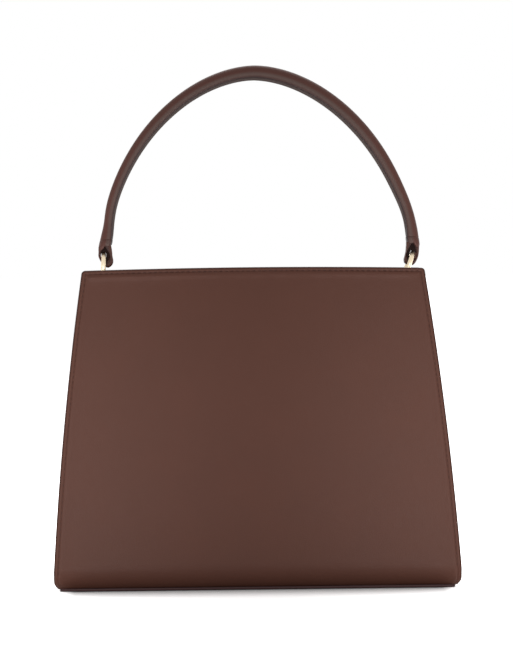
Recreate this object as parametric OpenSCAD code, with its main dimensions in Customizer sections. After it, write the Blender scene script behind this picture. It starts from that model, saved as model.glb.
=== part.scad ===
// Structured top handle bag: two tapering leather faces, folded-in side gussets, a flat base,
// and one rolled handle that hangs by leather loops from two D rings.
// Origin: centre of the base on the surface it stands on. X across, Y front to back, Z up.
// The face towards -Y is the front.

/* [Body] */
// Width across the lower corners of the faces
base_w = 310; // [250:1:380]
// Width along the top edge of the faces
top_w = 262; // [230:1:290]
// Height of the faces at the middle of the top edge
body_h = 245; // [210:1:300]
// Depth of the bag, face to face, where the faces are furthest apart
base_d = 120; // [90:1:160]
// Depth of the bag, face to face, at the top edge
top_d = 36; // [34:1:60]
// Radius of the lower corners of the faces
corner_r = 7; // [4:0.5:14]
// Height below which a face curls in under the bag
tuck_h = 18; // [12:1:30]

/* [Leather and board] */
// Thickness of the outer leather of a face
face_t = 1.8; // [1.2:0.1:2.4]
// Thickness of the board bonded behind a face
board_t = 1.0; // [0.6:0.1:1.4]
// Thickness of a lining
lining_t = 0.8; // [0.5:0.1:1.2]
// Thickness of the gusset leather
gusset_t = 1.6; // [1.0:0.1:2.2]
// Thickness of the base leather
base_t = 2.2; // [1.6:0.1:3.2]
// Thickness of the stiff board in the base
base_board_t = 3; // [2:0.1:4]
// Width of the stitched seam down each side
seam_w = 9; // [7:0.5:12]
// Depth of the leather band inside the top edge
facing_h = 32; // [26:1:45]

/* [Rings] */
// Thickness of the ring wire
wire_d = 3.5; // [2.5:0.1:4.5]
// Outer width of a D ring
ring_w = 24.5; // [22:0.5:28]
// Depth of the rings' lower bars below the top edge
ring_drop = 13; // [9:0.5:15]
// Distance of each ring's lower bar from the side edge at the top
ring_inset = 15.5; // [15:0.5:30]
// Lean of the left ring at rest, towards the right
left_ring_lean = 2; // [-4:0.5:4]
// Lean of the right ring at rest, towards the right
right_ring_lean = 19.5; // [12:0.5:22]
// Width of the leather tab that holds a ring
tab_w = 14; // [10:0.5:14]
// Length of a tab below the ring's lower bar
tab_l = 34; // [28:1:50]
// Thickness of the tab leather
tab_t = 1.5; // [1.0:0.1:2.0]

/* [Handle] */
// Height of the top of the handle above the top edge
handle_rise = 156; // [110:1:190]
// Height of the rings' arches above the top edge, at the middle of an upright ring's wire
arch_lift = 11.5; // [10:0.5:14]
// Height of the lower ends of the roll above the middle of an upright ring's arch
roll_lift = 6; // [5:0.1:7]
// Radius of the roll at the middle of the handle
roll_r = 5.4; // [4.6:0.1:7]
// Radius of the roll near its ends
roll_end_r = 3.3; // [3.2:0.1:4.4]
// Height of the stitched seam ridge on the underside of the roll
ridge_h = 1.2; // [0.8:0.1:2]
// Thickness of the leather rolled round the core
wrap_t = 1.5; // [1.2:0.1:1.8]
// Width of the leather loop at each end
loop_w = 10; // [8:0.5:11]
// Thickness of the loop leather
loop_t = 1.9; // [1.6:0.1:2.2]
// Clear width inside a loop
loop_gap = 7.6; // [7.4:0.1:8.4]
// Length of a loop below the end of the roll
loop_l = 15.6; // [15:0.1:17]
// Lean of a loop, with its lower end towards the middle of the bag
loop_lean = 10; // [4:1:12]

/* [Inside] */
// Width of the slip pocket
pocket_w = 160; // [100:1:180]
// Height of the slip pocket
pocket_h = 100; // [70:1:110]
// Length of the zip opening
zip_l = 150; // [110:1:170]
// Depth of the zip opening's middle below the top edge
zip_drop = 80; // [70:1:95]
// Diameter of each half of the magnetic snap
snap_d = 18; // [14:0.5:20]
// Distance of the zip slider from the left end of its track
slider_at = 12; // [8:1:40]

/* [Hidden] */

// Clearance between pieces that lie on each other
lay_gap = 0.1;
// Clearance between a gusset and its lining, whose folds start at different heights
side_gap = 0.3;
// Length by which a cut runs past the piece it cuts
overrun = 1;
// Smoothness of round exact shapes
round_n = 64;

// Shares that shape the outline of a face
side_bow_share = 0.41;
tuck_share = 0.2;
// Height at which the sides of a face start to draw in
side_foot = 15;
// Rise of the top edge in its middle
crown_h = 1.6;
// Radius of the upper corners of a face
top_corner_r = 2.5;

// Depth of each layer behind the outside of a face
board_at = face_t + lay_gap;
bag_at = board_at + board_t + lay_gap;
lining_at = bag_at + lining_t + lay_gap;
inside_at = lining_at + lining_t;
facing_at = bag_at;
gusset_at = inside_at + side_gap;

// Tangent and angle of a face's slope
face_run = (base_d - top_d) / 2 / (body_h - tuck_h);
face_angle = atan(face_run);
tuck_in = tuck_share * base_d / 2;

// Half the width of a face at a height
function side_t(z) = max(0, (z - side_foot) / (body_h - side_foot));
function half_w(z) = base_w / 2
    - (base_w - top_w) / 2 * (side_t(z) * (1 - side_bow_share) + pow(side_t(z), 2) * side_bow_share);

// Half the depth of the bag at a height
function tuck_t(z) = max(0, (tuck_h - z) / tuck_h);
function half_d(z) = base_d / 2 - face_run * max(0, z - tuck_h)
    - tuck_in * (1 - sqrt(1 - pow(tuck_t(z), 2)));

// Half the width of a face at a height, with its lower corners rounded off
function corner_t(z) = max(0, (corner_r - z + base_top) / corner_r);
function edge_w(z) = half_w(z) - corner_r * (1 - sqrt(max(0, 1 - pow(corner_t(z), 2))));

// Height of the top edge at a distance from the middle
function edge_z(x) = body_h - crown_h * pow(x / half_w(body_h), 2);

// Base stack and the height where the inner layers start
base_top = base_t + lay_gap;
board_top = base_top + base_board_t;
floor_top = board_top + lay_gap + lining_t;
wall_foot = floor_top + side_gap;

// Half the width inside the seams at a height
function root_w(z) = half_w(z) - seam_w;
base_half_w = root_w(0) - gusset_t / 2;
base_half_d = half_d(base_top);
base_corner_r = 12;

// Rings: wire, bore and the places that follow from them
wire_r = wire_d / 2;
bore_gap = 0.08;
bore_r = wire_r + bore_gap;
ring_r = ring_w / 2 - wire_r;
ring_corner_r = 3;
ring_x = top_w / 2 - ring_inset;
ring_z = body_h - ring_drop;
ring_rise = ring_drop + arch_lift;
arch_rise = ring_rise - ring_r;

// Slot between the two legs of a tab, which holds the gusset and its lining
slot_half = (gusset_t + lining_t + side_gap + 2 * lay_gap) / 2;
// Top edge of a gusset: low in the middle, where the tab straddles it, and high at the faces
dip_below_ring = 8.5;
gusset_drop = 4;
gusset_dip = ring_z - dip_below_ring;
gusset_rise = body_h - gusset_drop;
// Middle line of a gusset, straight from the base to the ring
lining_drop = 1;
mid_foot = root_w(base_top);
mid_head = ring_x + slot_half - lay_gap;
mid_run = (mid_foot - mid_head) / (ring_z - base_top);
mid_angle = atan(mid_run);
function mid_w(z) = mid_head + mid_run * (ring_z - z);
// Share of a gusset's depth that stays flat, and steps across and up it
flat_share = 0.5;
gusset_steps = 16;
level_shares = [0, 0.012, 0.024, 0.036, 0.048, 0.07, 0.16, 0.28, 0.4, 0.52, 0.64, 0.76, 0.86,
    0.93, 1];

// Handle: ends that follow from the rings, and a smooth arch between them
handle_top = body_h + handle_rise;
handle_end = body_h + arch_lift + roll_lift;
roll_top = handle_top - roll_r;
arch_sink = 9;
arch_foot = handle_end - arch_sink;
arch_power = 1.83;
arch_h = roll_top - arch_foot;
end_share = (handle_end - arch_foot) / arch_h;
end_angle = asin(pow(end_share, arch_power / 2));
end_cos = pow(cos(end_angle), 2 / arch_power);
loop_offset = 1.1;
left_bar_x = -ring_x + ring_rise * sin(left_ring_lean);
right_bar_x = ring_x + ring_rise * sin(right_ring_lean);
left_bar_z = ring_z + ring_rise * cos(left_ring_lean);
right_bar_z = ring_z + ring_rise * cos(right_ring_lean);
left_end_x = left_bar_x + loop_offset - (handle_end - left_bar_z) * tan(loop_lean);
right_end_x = right_bar_x - loop_offset + (handle_end - right_bar_z) * tan(loop_lean);
arch_mid_x = (left_end_x + right_end_x) / 2;
arch_half_w = (right_end_x - left_end_x) / 2 / end_cos;
arch_skew = 2.3;
roll_steps = 48;
roll_sides = 14;
// Shares that make the roll fullest a little to the right of its middle
full_skew_share = 1.45;
full_share = 0.8;
// Steps at each end over which the roll flattens into its collar
collar_steps = 3.4;
collar_half_w = loop_w / 2 + wrap_t;
collar_half_t = (loop_gap + wrap_t) / 2;
ridge_half_w = 1.5;
// Most that the ridge takes of the roll's width, along the roll and at its collars
ridge_share = 0.45;
collar_ridge_share = 0.3;
tongue_half_t = collar_half_t - wrap_t - lay_gap;
tongue_l = 9;
tongue_inset = 1;
tongue_half_w = loop_w / 2 - tongue_inset;
loop_half_w = loop_gap / 2 + loop_t;
// Eye of a loop: depth of its pointed top below the roll, share of its width to full width,
// radius of its round foot, and how far that foot lies outwards
hole_head = 1.6;
shoulder_share = 0.45;
loop_eye_r = 3.05;
loop_eye_shift = 1;
// Foot of a loop: leather under the eye, radius, shift inwards, and leather beside the eye
loop_foot_t = 3.25;
loop_foot_r = 3;
loop_foot_shift = 0.8;
loop_side_t = 1.6;
core_gap = 0.1;

// Zip and its pocket
zip_z = body_h - zip_drop;
tape_w = 20;
tape_t = 0.5;
coil_r = 0.9;
coil_at = 0.95;
zip_window_h = 9;
zip_frame_h = 25;
zip_frame_t = 1.0;
zip_corner_r = 3;
slider_l = 10;
slider_w = 7.2;
slider_h = 3.2;
slider_wall = 0.8;
slider_corner_r = 1.6;
slider_tail_share = 0.84;
slider_lift = tape_t + lay_gap;
pin_r = 0.75;
pin_bore_gap = 0.05;
eye_r = 1.6;
eye_half_w = 1.7;
ear_gap = 0.1;
ear_t = 0.8;
pull_gap = 0.3;
pin_z = slider_lift + slider_h + eye_r + pull_gap;
pull_l = 20;
pull_w = 5;
pull_t = 1.2;
zip_bag_h = 90;

// Magnetic snap
snap_plate_t = 1.2;
stud_r = 3.2;
stud_h = 2.4;
socket_t = 3;
socket_gap = 0.3;
snap_z = body_h - facing_h * 0.6;

// Colours
leather = [0.36, 0.24, 0.21];
suede = [0.42, 0.30, 0.25];
board = [0.55, 0.50, 0.43];
gold = [0.86, 0.76, 0.60];

// Outline of a face, seen from the front
function arc(cx, cz, r, a0, a1, n) =
    [for (i = [0:n]) let(a = a0 + (a1 - a0) * i / n) [cx + r * cos(a), cz + r * sin(a)]];

function face_side() = concat(
    arc(half_w(0) - corner_r, base_top + corner_r, corner_r, -90, 0, 6),
    [for (i = [1:14]) let(z = base_top + corner_r
        + (body_h - crown_h - top_corner_r - base_top - corner_r) * i / 14) [half_w(z), z]],
    arc(half_w(body_h) - top_corner_r, body_h - crown_h - top_corner_r, top_corner_r, 15, 90, 4),
    [for (i = [1:6]) let(x = (half_w(body_h) - top_corner_r) * (1 - i / 6)) [x, edge_z(x)]]);

function mirrored(side) = [for (i = [len(side) - 1:-1:0]) [-side[i][0], side[i][1]]];

module face_outline() {
    polygon(concat(face_side(), mirrored(face_side())));
}

// Outline of an inner layer between two heights, drawn in from the gussets
module layer_outline(inset, z0, z1) {
    side = [for (i = [0:12]) let(z = z0 + (z1 - z0) * i / 12) [half_w(z) - inset, z]];
    polygon(concat(side, mirrored(side)));
}

// Section of a layer of the front wall, between two depths behind its outside
module wall_section(d0, d1, z0, z1) {
    curl = [for (i = [0:8]) z0 + (max(z0, tuck_h) - z0) * i / 8];
    heights = concat([for (z = curl) if (z < tuck_h) z], [max(z0, tuck_h), z1]);
    polygon(concat([for (z = heights) [-half_d(z) + d0, z]],
        [for (i = [len(heights) - 1:-1:0]) [-half_d(heights[i]) + d1, heights[i]]]));
}

// A layer of the front wall: its section run across the bag and cut to an outline
module wall_layer(d0, d1, z0, z1) {
    intersection() {
        rotate([90, 0, 90])
            linear_extrude(height = base_w + 2 * overrun, center = true)
                wall_section(d0, d1, z0, z1);
        rotate([90, 0, 0])
            linear_extrude(height = base_d + 2 * overrun, center = true)
                children();
    }
}

module to_back() {
    mirror([0, 1, 0]) children();
}

// Puts a flat piece on the front wall at a height and a depth behind the outside
module on_front(z, d) {
    translate([0, -(half_d(z) - d), z])
        rotate([-90 - face_angle, 0, 0])
            children();
}

module face() {
    wall_layer(0, face_t, base_top, body_h + overrun) face_outline();
}

module front_panel() {
    color(leather) face();
}

module back_panel() {
    color(leather) to_back() face();
}

inner_inset = seam_w + gusset_t + 2 * lay_gap;

module stiffener() {
    wall_layer(board_at, board_at + board_t, wall_foot, body_h - crown_h - top_corner_r)
        layer_outline(inner_inset, wall_foot, body_h - crown_h - top_corner_r);
}

module front_stiffener() {
    color(board) stiffener();
}

module back_stiffener() {
    color(board) to_back() stiffener();
}

facing_head = body_h - crown_h - lay_gap;
facing_foot = body_h - facing_h;

module facing() {
    wall_layer(facing_at, inside_at, facing_foot, facing_head)
        layer_outline(inner_inset, facing_foot, facing_head);
}

module front_facing() {
    color(leather) facing();
}

module back_facing() {
    color(leather) to_back() facing();
}

lining_head = facing_foot - lay_gap;

module wall_lining() {
    wall_layer(lining_at, inside_at, wall_foot, lining_head)
        layer_outline(inner_inset, wall_foot, lining_head);
}

module front_lining() {
    color(suede) wall_lining();
}

module back_lining() {
    color(suede) to_back() difference() {
        wall_lining();
        on_front(zip_z, inside_at)
            cube([zip_l - zip_window_h, zip_window_h / 2, 2 * inside_at], center = true);
    }
}

// Gusset: flanges behind the faces' side edges, and a wall between them that folds inwards
function fold(u) = abs(u) <= flat_share ? 1
    : (1 + cos(180 * (abs(u) - flat_share) / (1 - flat_share))) / 2;
function wall_w(u, z) = root_w(z) - (root_w(z) - mid_w(z)) * fold(u);
function wall_top(u) = gusset_dip + (gusset_rise - gusset_dip) * pow(abs(u), 4);
function across() = [for (i = [0:gusset_steps]) 2 * i / gusset_steps - 1];

function flange_y(z, side, layer) = side * (half_d(z) - face_t - lay_gap - layer * gusset_t);

function gusset_line(v, layer) =
    let(zf = base_top + v * (gusset_rise - base_top), inset = (1 - layer) * gusset_t)
    concat(
        [[edge_w(zf), flange_y(zf, -1, layer), zf],
            [root_w(zf) - inset, flange_y(zf, -1, layer), zf]],
        [for (u = across()) let(z = base_top + v * (wall_top(u) - base_top))
            [wall_w(u, z) - inset, u * (half_d(z) - gusset_at), z]],
        [[root_w(zf) - inset, flange_y(zf, 1, layer), zf],
            [edge_w(zf), flange_y(zf, 1, layer), zf]]);

function lining_line(v, layer) =
    [for (u = across())
        let(z = wall_foot + v * (wall_top(u) - lining_drop - wall_foot))
        [wall_w(u, z) - gusset_t - side_gap - (1 - layer) * lining_t,
            u * (half_d(z) - gusset_at), z]];

// Closed sheet between an outer and an inner surface, each given as rows of points
module sheet(outer, inner) {
    rows = len(outer);
    n = len(outer[0]);
    points = concat([for (r = outer) for (p = r) p], [for (r = inner) for (p = r) p]);
    far = rows * n;
    skin = [for (r = [0:rows - 2]) for (i = [0:n - 2]) let(a = r * n + i)
        for (f = [[a, a + 1, a + n + 1], [a, a + n + 1, a + n]]) f];
    back = [for (f = skin) [f[2] + far, f[1] + far, f[0] + far]];
    foot = [for (i = [0:n - 2]) for (f = [[i, far + i + 1, i + 1], [i, far + i, far + i + 1]]) f];
    top0 = (rows - 1) * n;
    head = [for (i = [0:n - 2]) let(a = top0 + i)
        for (f = [[a, a + 1, far + a + 1], [a, far + a + 1, far + a]]) f];
    left = [for (r = [0:rows - 2]) let(a = r * n)
        for (f = [[a, a + n, far + a + n], [a, far + a + n, far + a]]) f];
    right = [for (r = [0:rows - 2]) let(a = r * n + n - 1)
        for (f = [[a, far + a + n, a + n], [a, far + a, far + a + n]]) f];
    polyhedron(points, [for (f = concat(skin, back, foot, head, left, right))
        [f[2], f[1], f[0]]], convexity = 6);
}

module gusset() {
    sheet([for (v = level_shares) gusset_line(v, 1)], [for (v = level_shares) gusset_line(v, 0)]);
}

module gusset_lining() {
    sheet([for (v = level_shares) lining_line(v, 1)], [for (v = level_shares) lining_line(v, 0)]);
}

module left_gusset() {
    color(leather) mirror([1, 0, 0]) gusset();
}

module right_gusset() {
    color(leather) gusset();
}

module left_gusset_lining() {
    color(suede) mirror([1, 0, 0]) gusset_lining();
}

module right_gusset_lining() {
    color(suede) gusset_lining();
}

// Flat plate with round corners, lying on a height
module plate(half_x, half_y, r, z, t) {
    translate([0, 0, z])
        linear_extrude(height = t)
            polygon(concat(arc(half_x - r, half_y - r, r, 0, 90, 8),
                arc(r - half_x, half_y - r, r, 90, 180, 8),
                arc(r - half_x, r - half_y, r, 180, 270, 8),
                arc(half_x - r, r - half_y, r, 270, 360, 8)));
}

module base_panel() {
    color(leather) plate(base_half_w, base_half_d, base_corner_r, 0, base_t);
}

board_half_w = mid_w(floor_top) - gusset_t - side_gap;
board_half_d = base_half_d - face_t - side_gap;

module base_board() {
    color(board) plate(board_half_w, board_half_d, corner_r, base_top, base_board_t);
}

module base_lining() {
    color(suede) plate(board_half_w, board_half_d, corner_r, board_top + lay_gap, lining_t);
}

pocket_lift = 20;
pocket_z = wall_foot + pocket_lift + pocket_h / 2;

module slip_pocket() {
    color(suede) on_front(pocket_z, inside_at + lay_gap)
        linear_extrude(height = lining_t)
            square([pocket_w, pocket_h], center = true);
}

// Zip pocket on the back wall: bag behind the lining, taped coil, frame, slider and pull
module on_back(z, d) {
    to_back() on_front(z, d) children();
}

module zip_pocket_bag() {
    color(suede) to_back()
        wall_layer(bag_at, bag_at + lining_t, zip_z - zip_bag_h, zip_z + zip_frame_h / 2)
            translate([0, zip_z + (zip_frame_h / 2 - zip_bag_h) / 2])
                square([zip_l + zip_frame_h, zip_bag_h + zip_frame_h / 2], center = true);
}

zip_at = inside_at + lay_gap;

module zip_tape() {
    color(leather) on_back(zip_z, zip_at) {
        linear_extrude(height = tape_t)
            square([zip_l + zip_window_h, tape_w], center = true);
        for (s = [-1, 1])
            translate([0, s * coil_at, tape_t + coil_r - lay_gap])
                rotate([0, 90, 0])
                    cylinder(r = coil_r, h = zip_l, center = true, $fn = 16);
    }
}

// Rectangle with round corners, on its centre
module rounded(w, h, r) {
    polygon(concat(arc(w / 2 - r, h / 2 - r, r, 0, 90, 8), arc(r - w / 2, h / 2 - r, r, 90, 180, 8),
        arc(r - w / 2, r - h / 2, r, 180, 270, 8), arc(w / 2 - r, r - h / 2, r, 270, 360, 8)));
}

module zip_frame() {
    color(leather) on_back(zip_z, zip_at + tape_t + lay_gap)
        linear_extrude(height = zip_frame_t)
            difference() {
                rounded(zip_l + zip_frame_h - zip_window_h, zip_frame_h, zip_corner_r);
                rounded(zip_l, zip_window_h, zip_corner_r);
            }
}

slider_x = -zip_l / 2 + slider_at;

// Outline of the slider: broad shoulders and a narrower tail, with round corners
module slider_outline() {
    nose = slider_l / 2 - slider_corner_r;
    tail_w = slider_w * slider_tail_share;
    polygon(concat(
        arc(nose, tail_w / 2 - slider_corner_r, slider_corner_r, 0, 80, 5),
        arc(-nose, slider_w / 2 - slider_corner_r, slider_corner_r, 80, 180, 6),
        arc(-nose, slider_corner_r - slider_w / 2, slider_corner_r, 180, 280, 6),
        arc(nose, slider_corner_r - tail_w / 2, slider_corner_r, 280, 360, 5)));
}

// Slider: a channel over the two coils, with ears that hold the pull's pin
module zip_slider() {
    color(gold) on_back(zip_z, zip_at) translate([slider_x, 0, 0]) {
        difference() {
            translate([0, 0, slider_lift])
                linear_extrude(height = slider_h)
                    slider_outline();
            translate([0, 0, slider_lift + (slider_h - slider_wall) / 2 - overrun / 2])
                cube([slider_l + 2 * overrun, slider_w - 2 * slider_wall,
                    slider_h - slider_wall + overrun], center = true);
        }
        for (s = [-1, 1])
            translate([0, s * (eye_half_w + ear_gap + ear_t / 2),
                (slider_lift + slider_h + pin_z) / 2])
                cube([2 * eye_r, ear_t, pin_z - slider_lift - slider_h], center = true);
        for (s = [-1, 1])
            translate([0, s * (eye_half_w + ear_gap + ear_t / 2), pin_z])
                rotate([90, 0, 0])
                    cylinder(r = eye_r, h = ear_t, center = true, $fn = round_n);
        translate([0, 0, pin_z])
            rotate([90, 0, 0])
                cylinder(r = pin_r, h = 2 * (eye_half_w + ear_gap) + ear_t, center = true,
                    $fn = round_n);
    }
}

// Pull: a flat tag with an eye that turns on the slider's pin
module zip_puller() {
    color(gold) on_back(zip_z, zip_at) translate([slider_x, 0, pin_z])
        difference() {
            union() {
                rotate([90, 0, 0])
                    cylinder(r = eye_r, h = 2 * eye_half_w, center = true, $fn = round_n);
                translate([eye_r * 1.5, 0, 0])
                    cube([eye_r * 3, 2 * eye_half_w, pull_t], center = true);
                translate([eye_r * 3 + (pull_l - eye_r * 3 - pull_w / 2) / 2, 0, 0])
                    cube([pull_l - eye_r * 3 - pull_w / 2, pull_w, pull_t], center = true);
                translate([pull_l - pull_w / 2, 0, 0])
                    cylinder(d = pull_w, h = pull_t, center = true, $fn = round_n);
            }
            rotate([90, 0, 0])
                cylinder(r = pin_r + pin_bore_gap, h = 4 * eye_half_w, center = true,
                    $fn = round_n);
        }
}

module snap_stud() {
    color(gold) on_front(snap_z, inside_at + lay_gap) {
        cylinder(d = snap_d, h = snap_plate_t, $fn = round_n);
        cylinder(r = stud_r, h = snap_plate_t + stud_h, $fn = round_n);
    }
}

module snap_socket() {
    color(gold) on_back(snap_z, inside_at + lay_gap)
        difference() {
            cylinder(d = snap_d, h = socket_t, $fn = round_n);
            translate([0, 0, socket_t - stud_h])
                cylinder(r = stud_r + socket_gap, h = stud_h + overrun, $fn = round_n);
        }
}

// Ring tab: a strap folded over the ring's lower bar, with a leg on each side of the gusset
module tab_leg(x0) {
    translate([x0, 0, 0])
        rotate([90, 0, 90])
            linear_extrude(height = tab_t) {
                translate([-tab_w / 2, tab_w / 2 - tab_l])
                    square([tab_w, tab_l - tab_w / 2]);
                translate([0, tab_w / 2 - tab_l])
                    circle(d = tab_w, $fn = round_n);
            }
}

// Filler between the legs, from the bore down to just above the gusset's top edge
neck_gap = 1.2;
neck_l = dip_below_ring - neck_gap;

module ring_tab() {
    color(leather) translate([ring_x, 0, ring_z]) rotate([0, -mid_angle, 0])
        difference() {
            union() {
                tab_leg(slot_half);
                tab_leg(-slot_half - tab_t);
                rotate([90, 0, 0])
                    cylinder(r = bore_r + tab_t, h = tab_w, center = true, $fn = round_n);
                translate([0, 0, -neck_l / 2])
                    cube([2 * slot_half, tab_w, neck_l], center = true);
            }
            rotate([90, 0, 0])
                cylinder(r = bore_r, h = tab_w + 2 * overrun, center = true, $fn = round_n);
        }
}

module left_ring_tab() {
    mirror([1, 0, 0]) ring_tab();
}

module right_ring_tab() {
    ring_tab();
}

// D ring in its own plane: lower bar, two bent corners, two legs and a half-round arch
module wire(l) {
    cylinder(r = wire_r, h = l, $fn = 32);
}

module bend(r, a0, a) {
    rotate([0, 0, a0])
        rotate_extrude(angle = a, $fn = round_n)
            translate([r, 0])
                circle(r = wire_r, $fn = 32);
}

module d_ring() {
    color(gold) rotate([90, 0, 90]) {
        translate([0, arch_rise, 0]) bend(ring_r, 0, 180);
        for (s = [-1, 1])
            translate([s * ring_r, ring_corner_r, 0])
                rotate([-90, 0, 0])
                    wire(arch_rise - ring_corner_r);
        translate([ring_r - ring_corner_r, ring_corner_r, 0]) bend(ring_corner_r, -90, 90);
        translate([ring_corner_r - ring_r, ring_corner_r, 0]) bend(ring_corner_r, 180, 90);
        translate([ring_corner_r - ring_r, 0, 0])
            rotate([0, 90, 0])
                wire(2 * (ring_r - ring_corner_r));
    }
}

module left_ring() {
    translate([-ring_x, 0, ring_z]) rotate([0, left_ring_lean, 0]) d_ring();
}

module right_ring() {
    translate([ring_x, 0, ring_z]) rotate([0, right_ring_lean, 0]) d_ring();
}

// Middle line of the roll: a superellipse between the two ends, skewed a little at the top
function roll_angle(s) = 180 - end_angle - (180 - 2 * end_angle) * s;
function signed_pow(v, p) = sign(v) * pow(abs(v), p);
function roll_point(s) =
    let(a = roll_angle(s), h = pow(sin(a), 2 / arch_power))
    [arch_mid_x + arch_half_w * signed_pow(cos(a), 2 / arch_power)
        - arch_skew * (h - end_share) / (1 - end_share), arch_foot + arch_h * h];
function roll_tangent(s) =
    let(d = 0.002, p = roll_point(max(0, s - d)), q = roll_point(min(1, s + d)), v = q - p)
    v / norm(v);

// Direction along the roll, turned to the loops' direction over the collar at each end
function collar_t(s) = max(0, 1 - min(s, 1 - s) * roll_steps / collar_steps);
function ease(t) = t * t * (3 - 2 * t);
function lean_tangent(s) = s < 0.5 ? [-sin(loop_lean), cos(loop_lean)]
    : [-sin(loop_lean), -cos(loop_lean)];
function roll_dir(s) =
    let(t = ease(collar_t(s)), v = roll_tangent(s) * (1 - t) + lean_tangent(s) * t)
    v / norm(v);

function roll_radius(s) =
    roll_end_r + (roll_r - roll_end_r) * pow(sin(180 * pow(s, full_skew_share)), full_share);
function mix(a, b, t) = a + (b - a) * t;

// One cross-section of the roll: round, with a ridge on the underside, flat at the collars
function roll_ring(s, inset, ridge) =
    let(p = roll_point(s), d = roll_dir(s), t = ease(collar_t(s)),
        r = roll_radius(s) - inset,
        rt = mix(r, collar_half_t - inset, t), rw = mix(r, collar_half_w - inset, t),
        h = ridge * (1 - t),
        w = mix(min(ridge_half_w, rw * ridge_share), rw * collar_ridge_share, t),
        out = [for (i = [0:roll_sides - 1]) let(a = -150 + 300 * i / (roll_sides - 1))
            [rt * cos(a), rw * sin(a)]],
        ring = concat(out, [[-rt - h, w], [-rt - h, -w]]))
    [for (q = ring) [p[0] - d[1] * q[0], q[1], p[1] + d[0] * q[0]]];

// Closed tube through a list of rings
module tube(rings) {
    n = len(rings[0]);
    m = len(rings);
    side = [for (r = [0:m - 2]) for (i = [0:n - 1]) let(a = r * n + i, b = r * n + (i + 1) % n)
        for (f = [[a, b, b + n], [a, b + n, a + n]]) f];
    first = [for (i = [1:n - 2]) [0, i + 1, i]];
    last = [for (i = [1:n - 2]) let(o = (m - 1) * n) [o, o + i, o + i + 1]];
    polyhedron([for (r = rings) for (p = r) p], concat(side, first, last), convexity = 8);
}

module roll_solid(inset, ridge, from, to) {
    tube([for (i = [from:to]) roll_ring(i / roll_steps, inset, ridge)]);
}

// Frame of a loop: origin at the end of the roll, Z up along the loop
module at_left_end() {
    translate([roll_point(0)[0], 0, roll_point(0)[1]]) rotate([0, -loop_lean, 0]) children();
}

module at_right_end() {
    translate([roll_point(1)[0], 0, roll_point(1)[1]]) rotate([0, loop_lean, 0]) children();
}

// Tongues of the loops, which follow the roll, with a gap round them for their recesses
left_roll_lean = atan2(roll_tangent(0)[0], roll_tangent(0)[1]);
right_roll_lean = atan2(-roll_tangent(1)[0], -roll_tangent(1)[1]);

module tongue(gap) {
    translate([0, 0, (tongue_l + gap - overrun) / 2])
        cube([2 * (tongue_half_t + gap), 2 * (tongue_half_w + gap), tongue_l + gap + overrun],
            center = true);
}

module left_tongue(gap) {
    translate([roll_point(0)[0], 0, roll_point(0)[1]]) rotate([0, left_roll_lean, 0]) tongue(gap);
}

module right_tongue(gap) {
    translate([roll_point(1)[0], 0, roll_point(1)[1]]) rotate([0, right_roll_lean, 0]) tongue(gap);
}

core_from = 3;

module handle_wrap() {
    color(leather) difference() {
        roll_solid(0, ridge_h, 0, roll_steps);
        roll_solid(wrap_t, 0, core_from, roll_steps - core_from);
        left_tongue(core_gap);
        right_tongue(core_gap);
    }
}

module handle_core() {
    color(board) difference() {
        roll_solid(wrap_t + core_gap, 0, core_from + 1, roll_steps - core_from - 1);
        left_tongue(2 * core_gap);
        right_tongue(2 * core_gap);
    }
}

// Loop: a strap folded round the ring's arch, with a tongue stitched into the roll. The strap
// closes in a narrow fold under the ring, a little towards the middle of the bag.
eye_foot_z = loop_foot_t + loop_eye_r - loop_l;
loop_foot_z = loop_foot_r - loop_l;

module loop_outline() {
    polygon(concat([[loop_half_w, -lay_gap], [-loop_half_w, -lay_gap]],
        arc(-loop_eye_shift, eye_foot_z, loop_eye_r + loop_side_t, 180, 235, 6),
        arc(loop_foot_shift, loop_foot_z, loop_foot_r, 225, 340, 12),
        [[loop_half_w, eye_foot_z]]));
}

module eye_outline() {
    shoulder_z = -hole_head - loop_gap * shoulder_share;
    polygon(concat([[0, -hole_head], [-loop_gap / 2, shoulder_z], [-loop_gap / 2, eye_foot_z]],
        arc(-loop_eye_shift, eye_foot_z, loop_eye_r, 205, 325, 14),
        [[loop_gap / 2, eye_foot_z], [loop_gap / 2, shoulder_z]]));
}

module end_loop() {
    rotate([90, 0, 0])
        linear_extrude(height = loop_w, center = true)
            difference() {
                loop_outline();
                eye_outline();
            }
}

module left_handle_loop() {
    color(leather) {
        at_left_end() end_loop();
        left_tongue(0);
    }
}

module right_handle_loop() {
    color(leather) {
        at_right_end() mirror([1, 0, 0]) end_loop();
        right_tongue(0);
    }
}

front_panel();
back_panel();
left_gusset();
right_gusset();
base_panel();
base_board();
base_lining();
front_stiffener();
back_stiffener();
front_facing();
back_facing();
front_lining();
back_lining();
left_gusset_lining();
right_gusset_lining();
slip_pocket();
zip_pocket_bag();
zip_tape();
zip_frame();
zip_slider();
zip_puller();
snap_stud();
snap_socket();
left_ring_tab();
right_ring_tab();
left_ring();
right_ring();
handle_wrap();
handle_core();
left_handle_loop();
right_handle_loop();
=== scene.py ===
"""A structured leather bag with one rolled handle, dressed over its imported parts. Metres."""
import math

import bmesh
import bpy
from mathutils import Matrix, Vector


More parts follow.
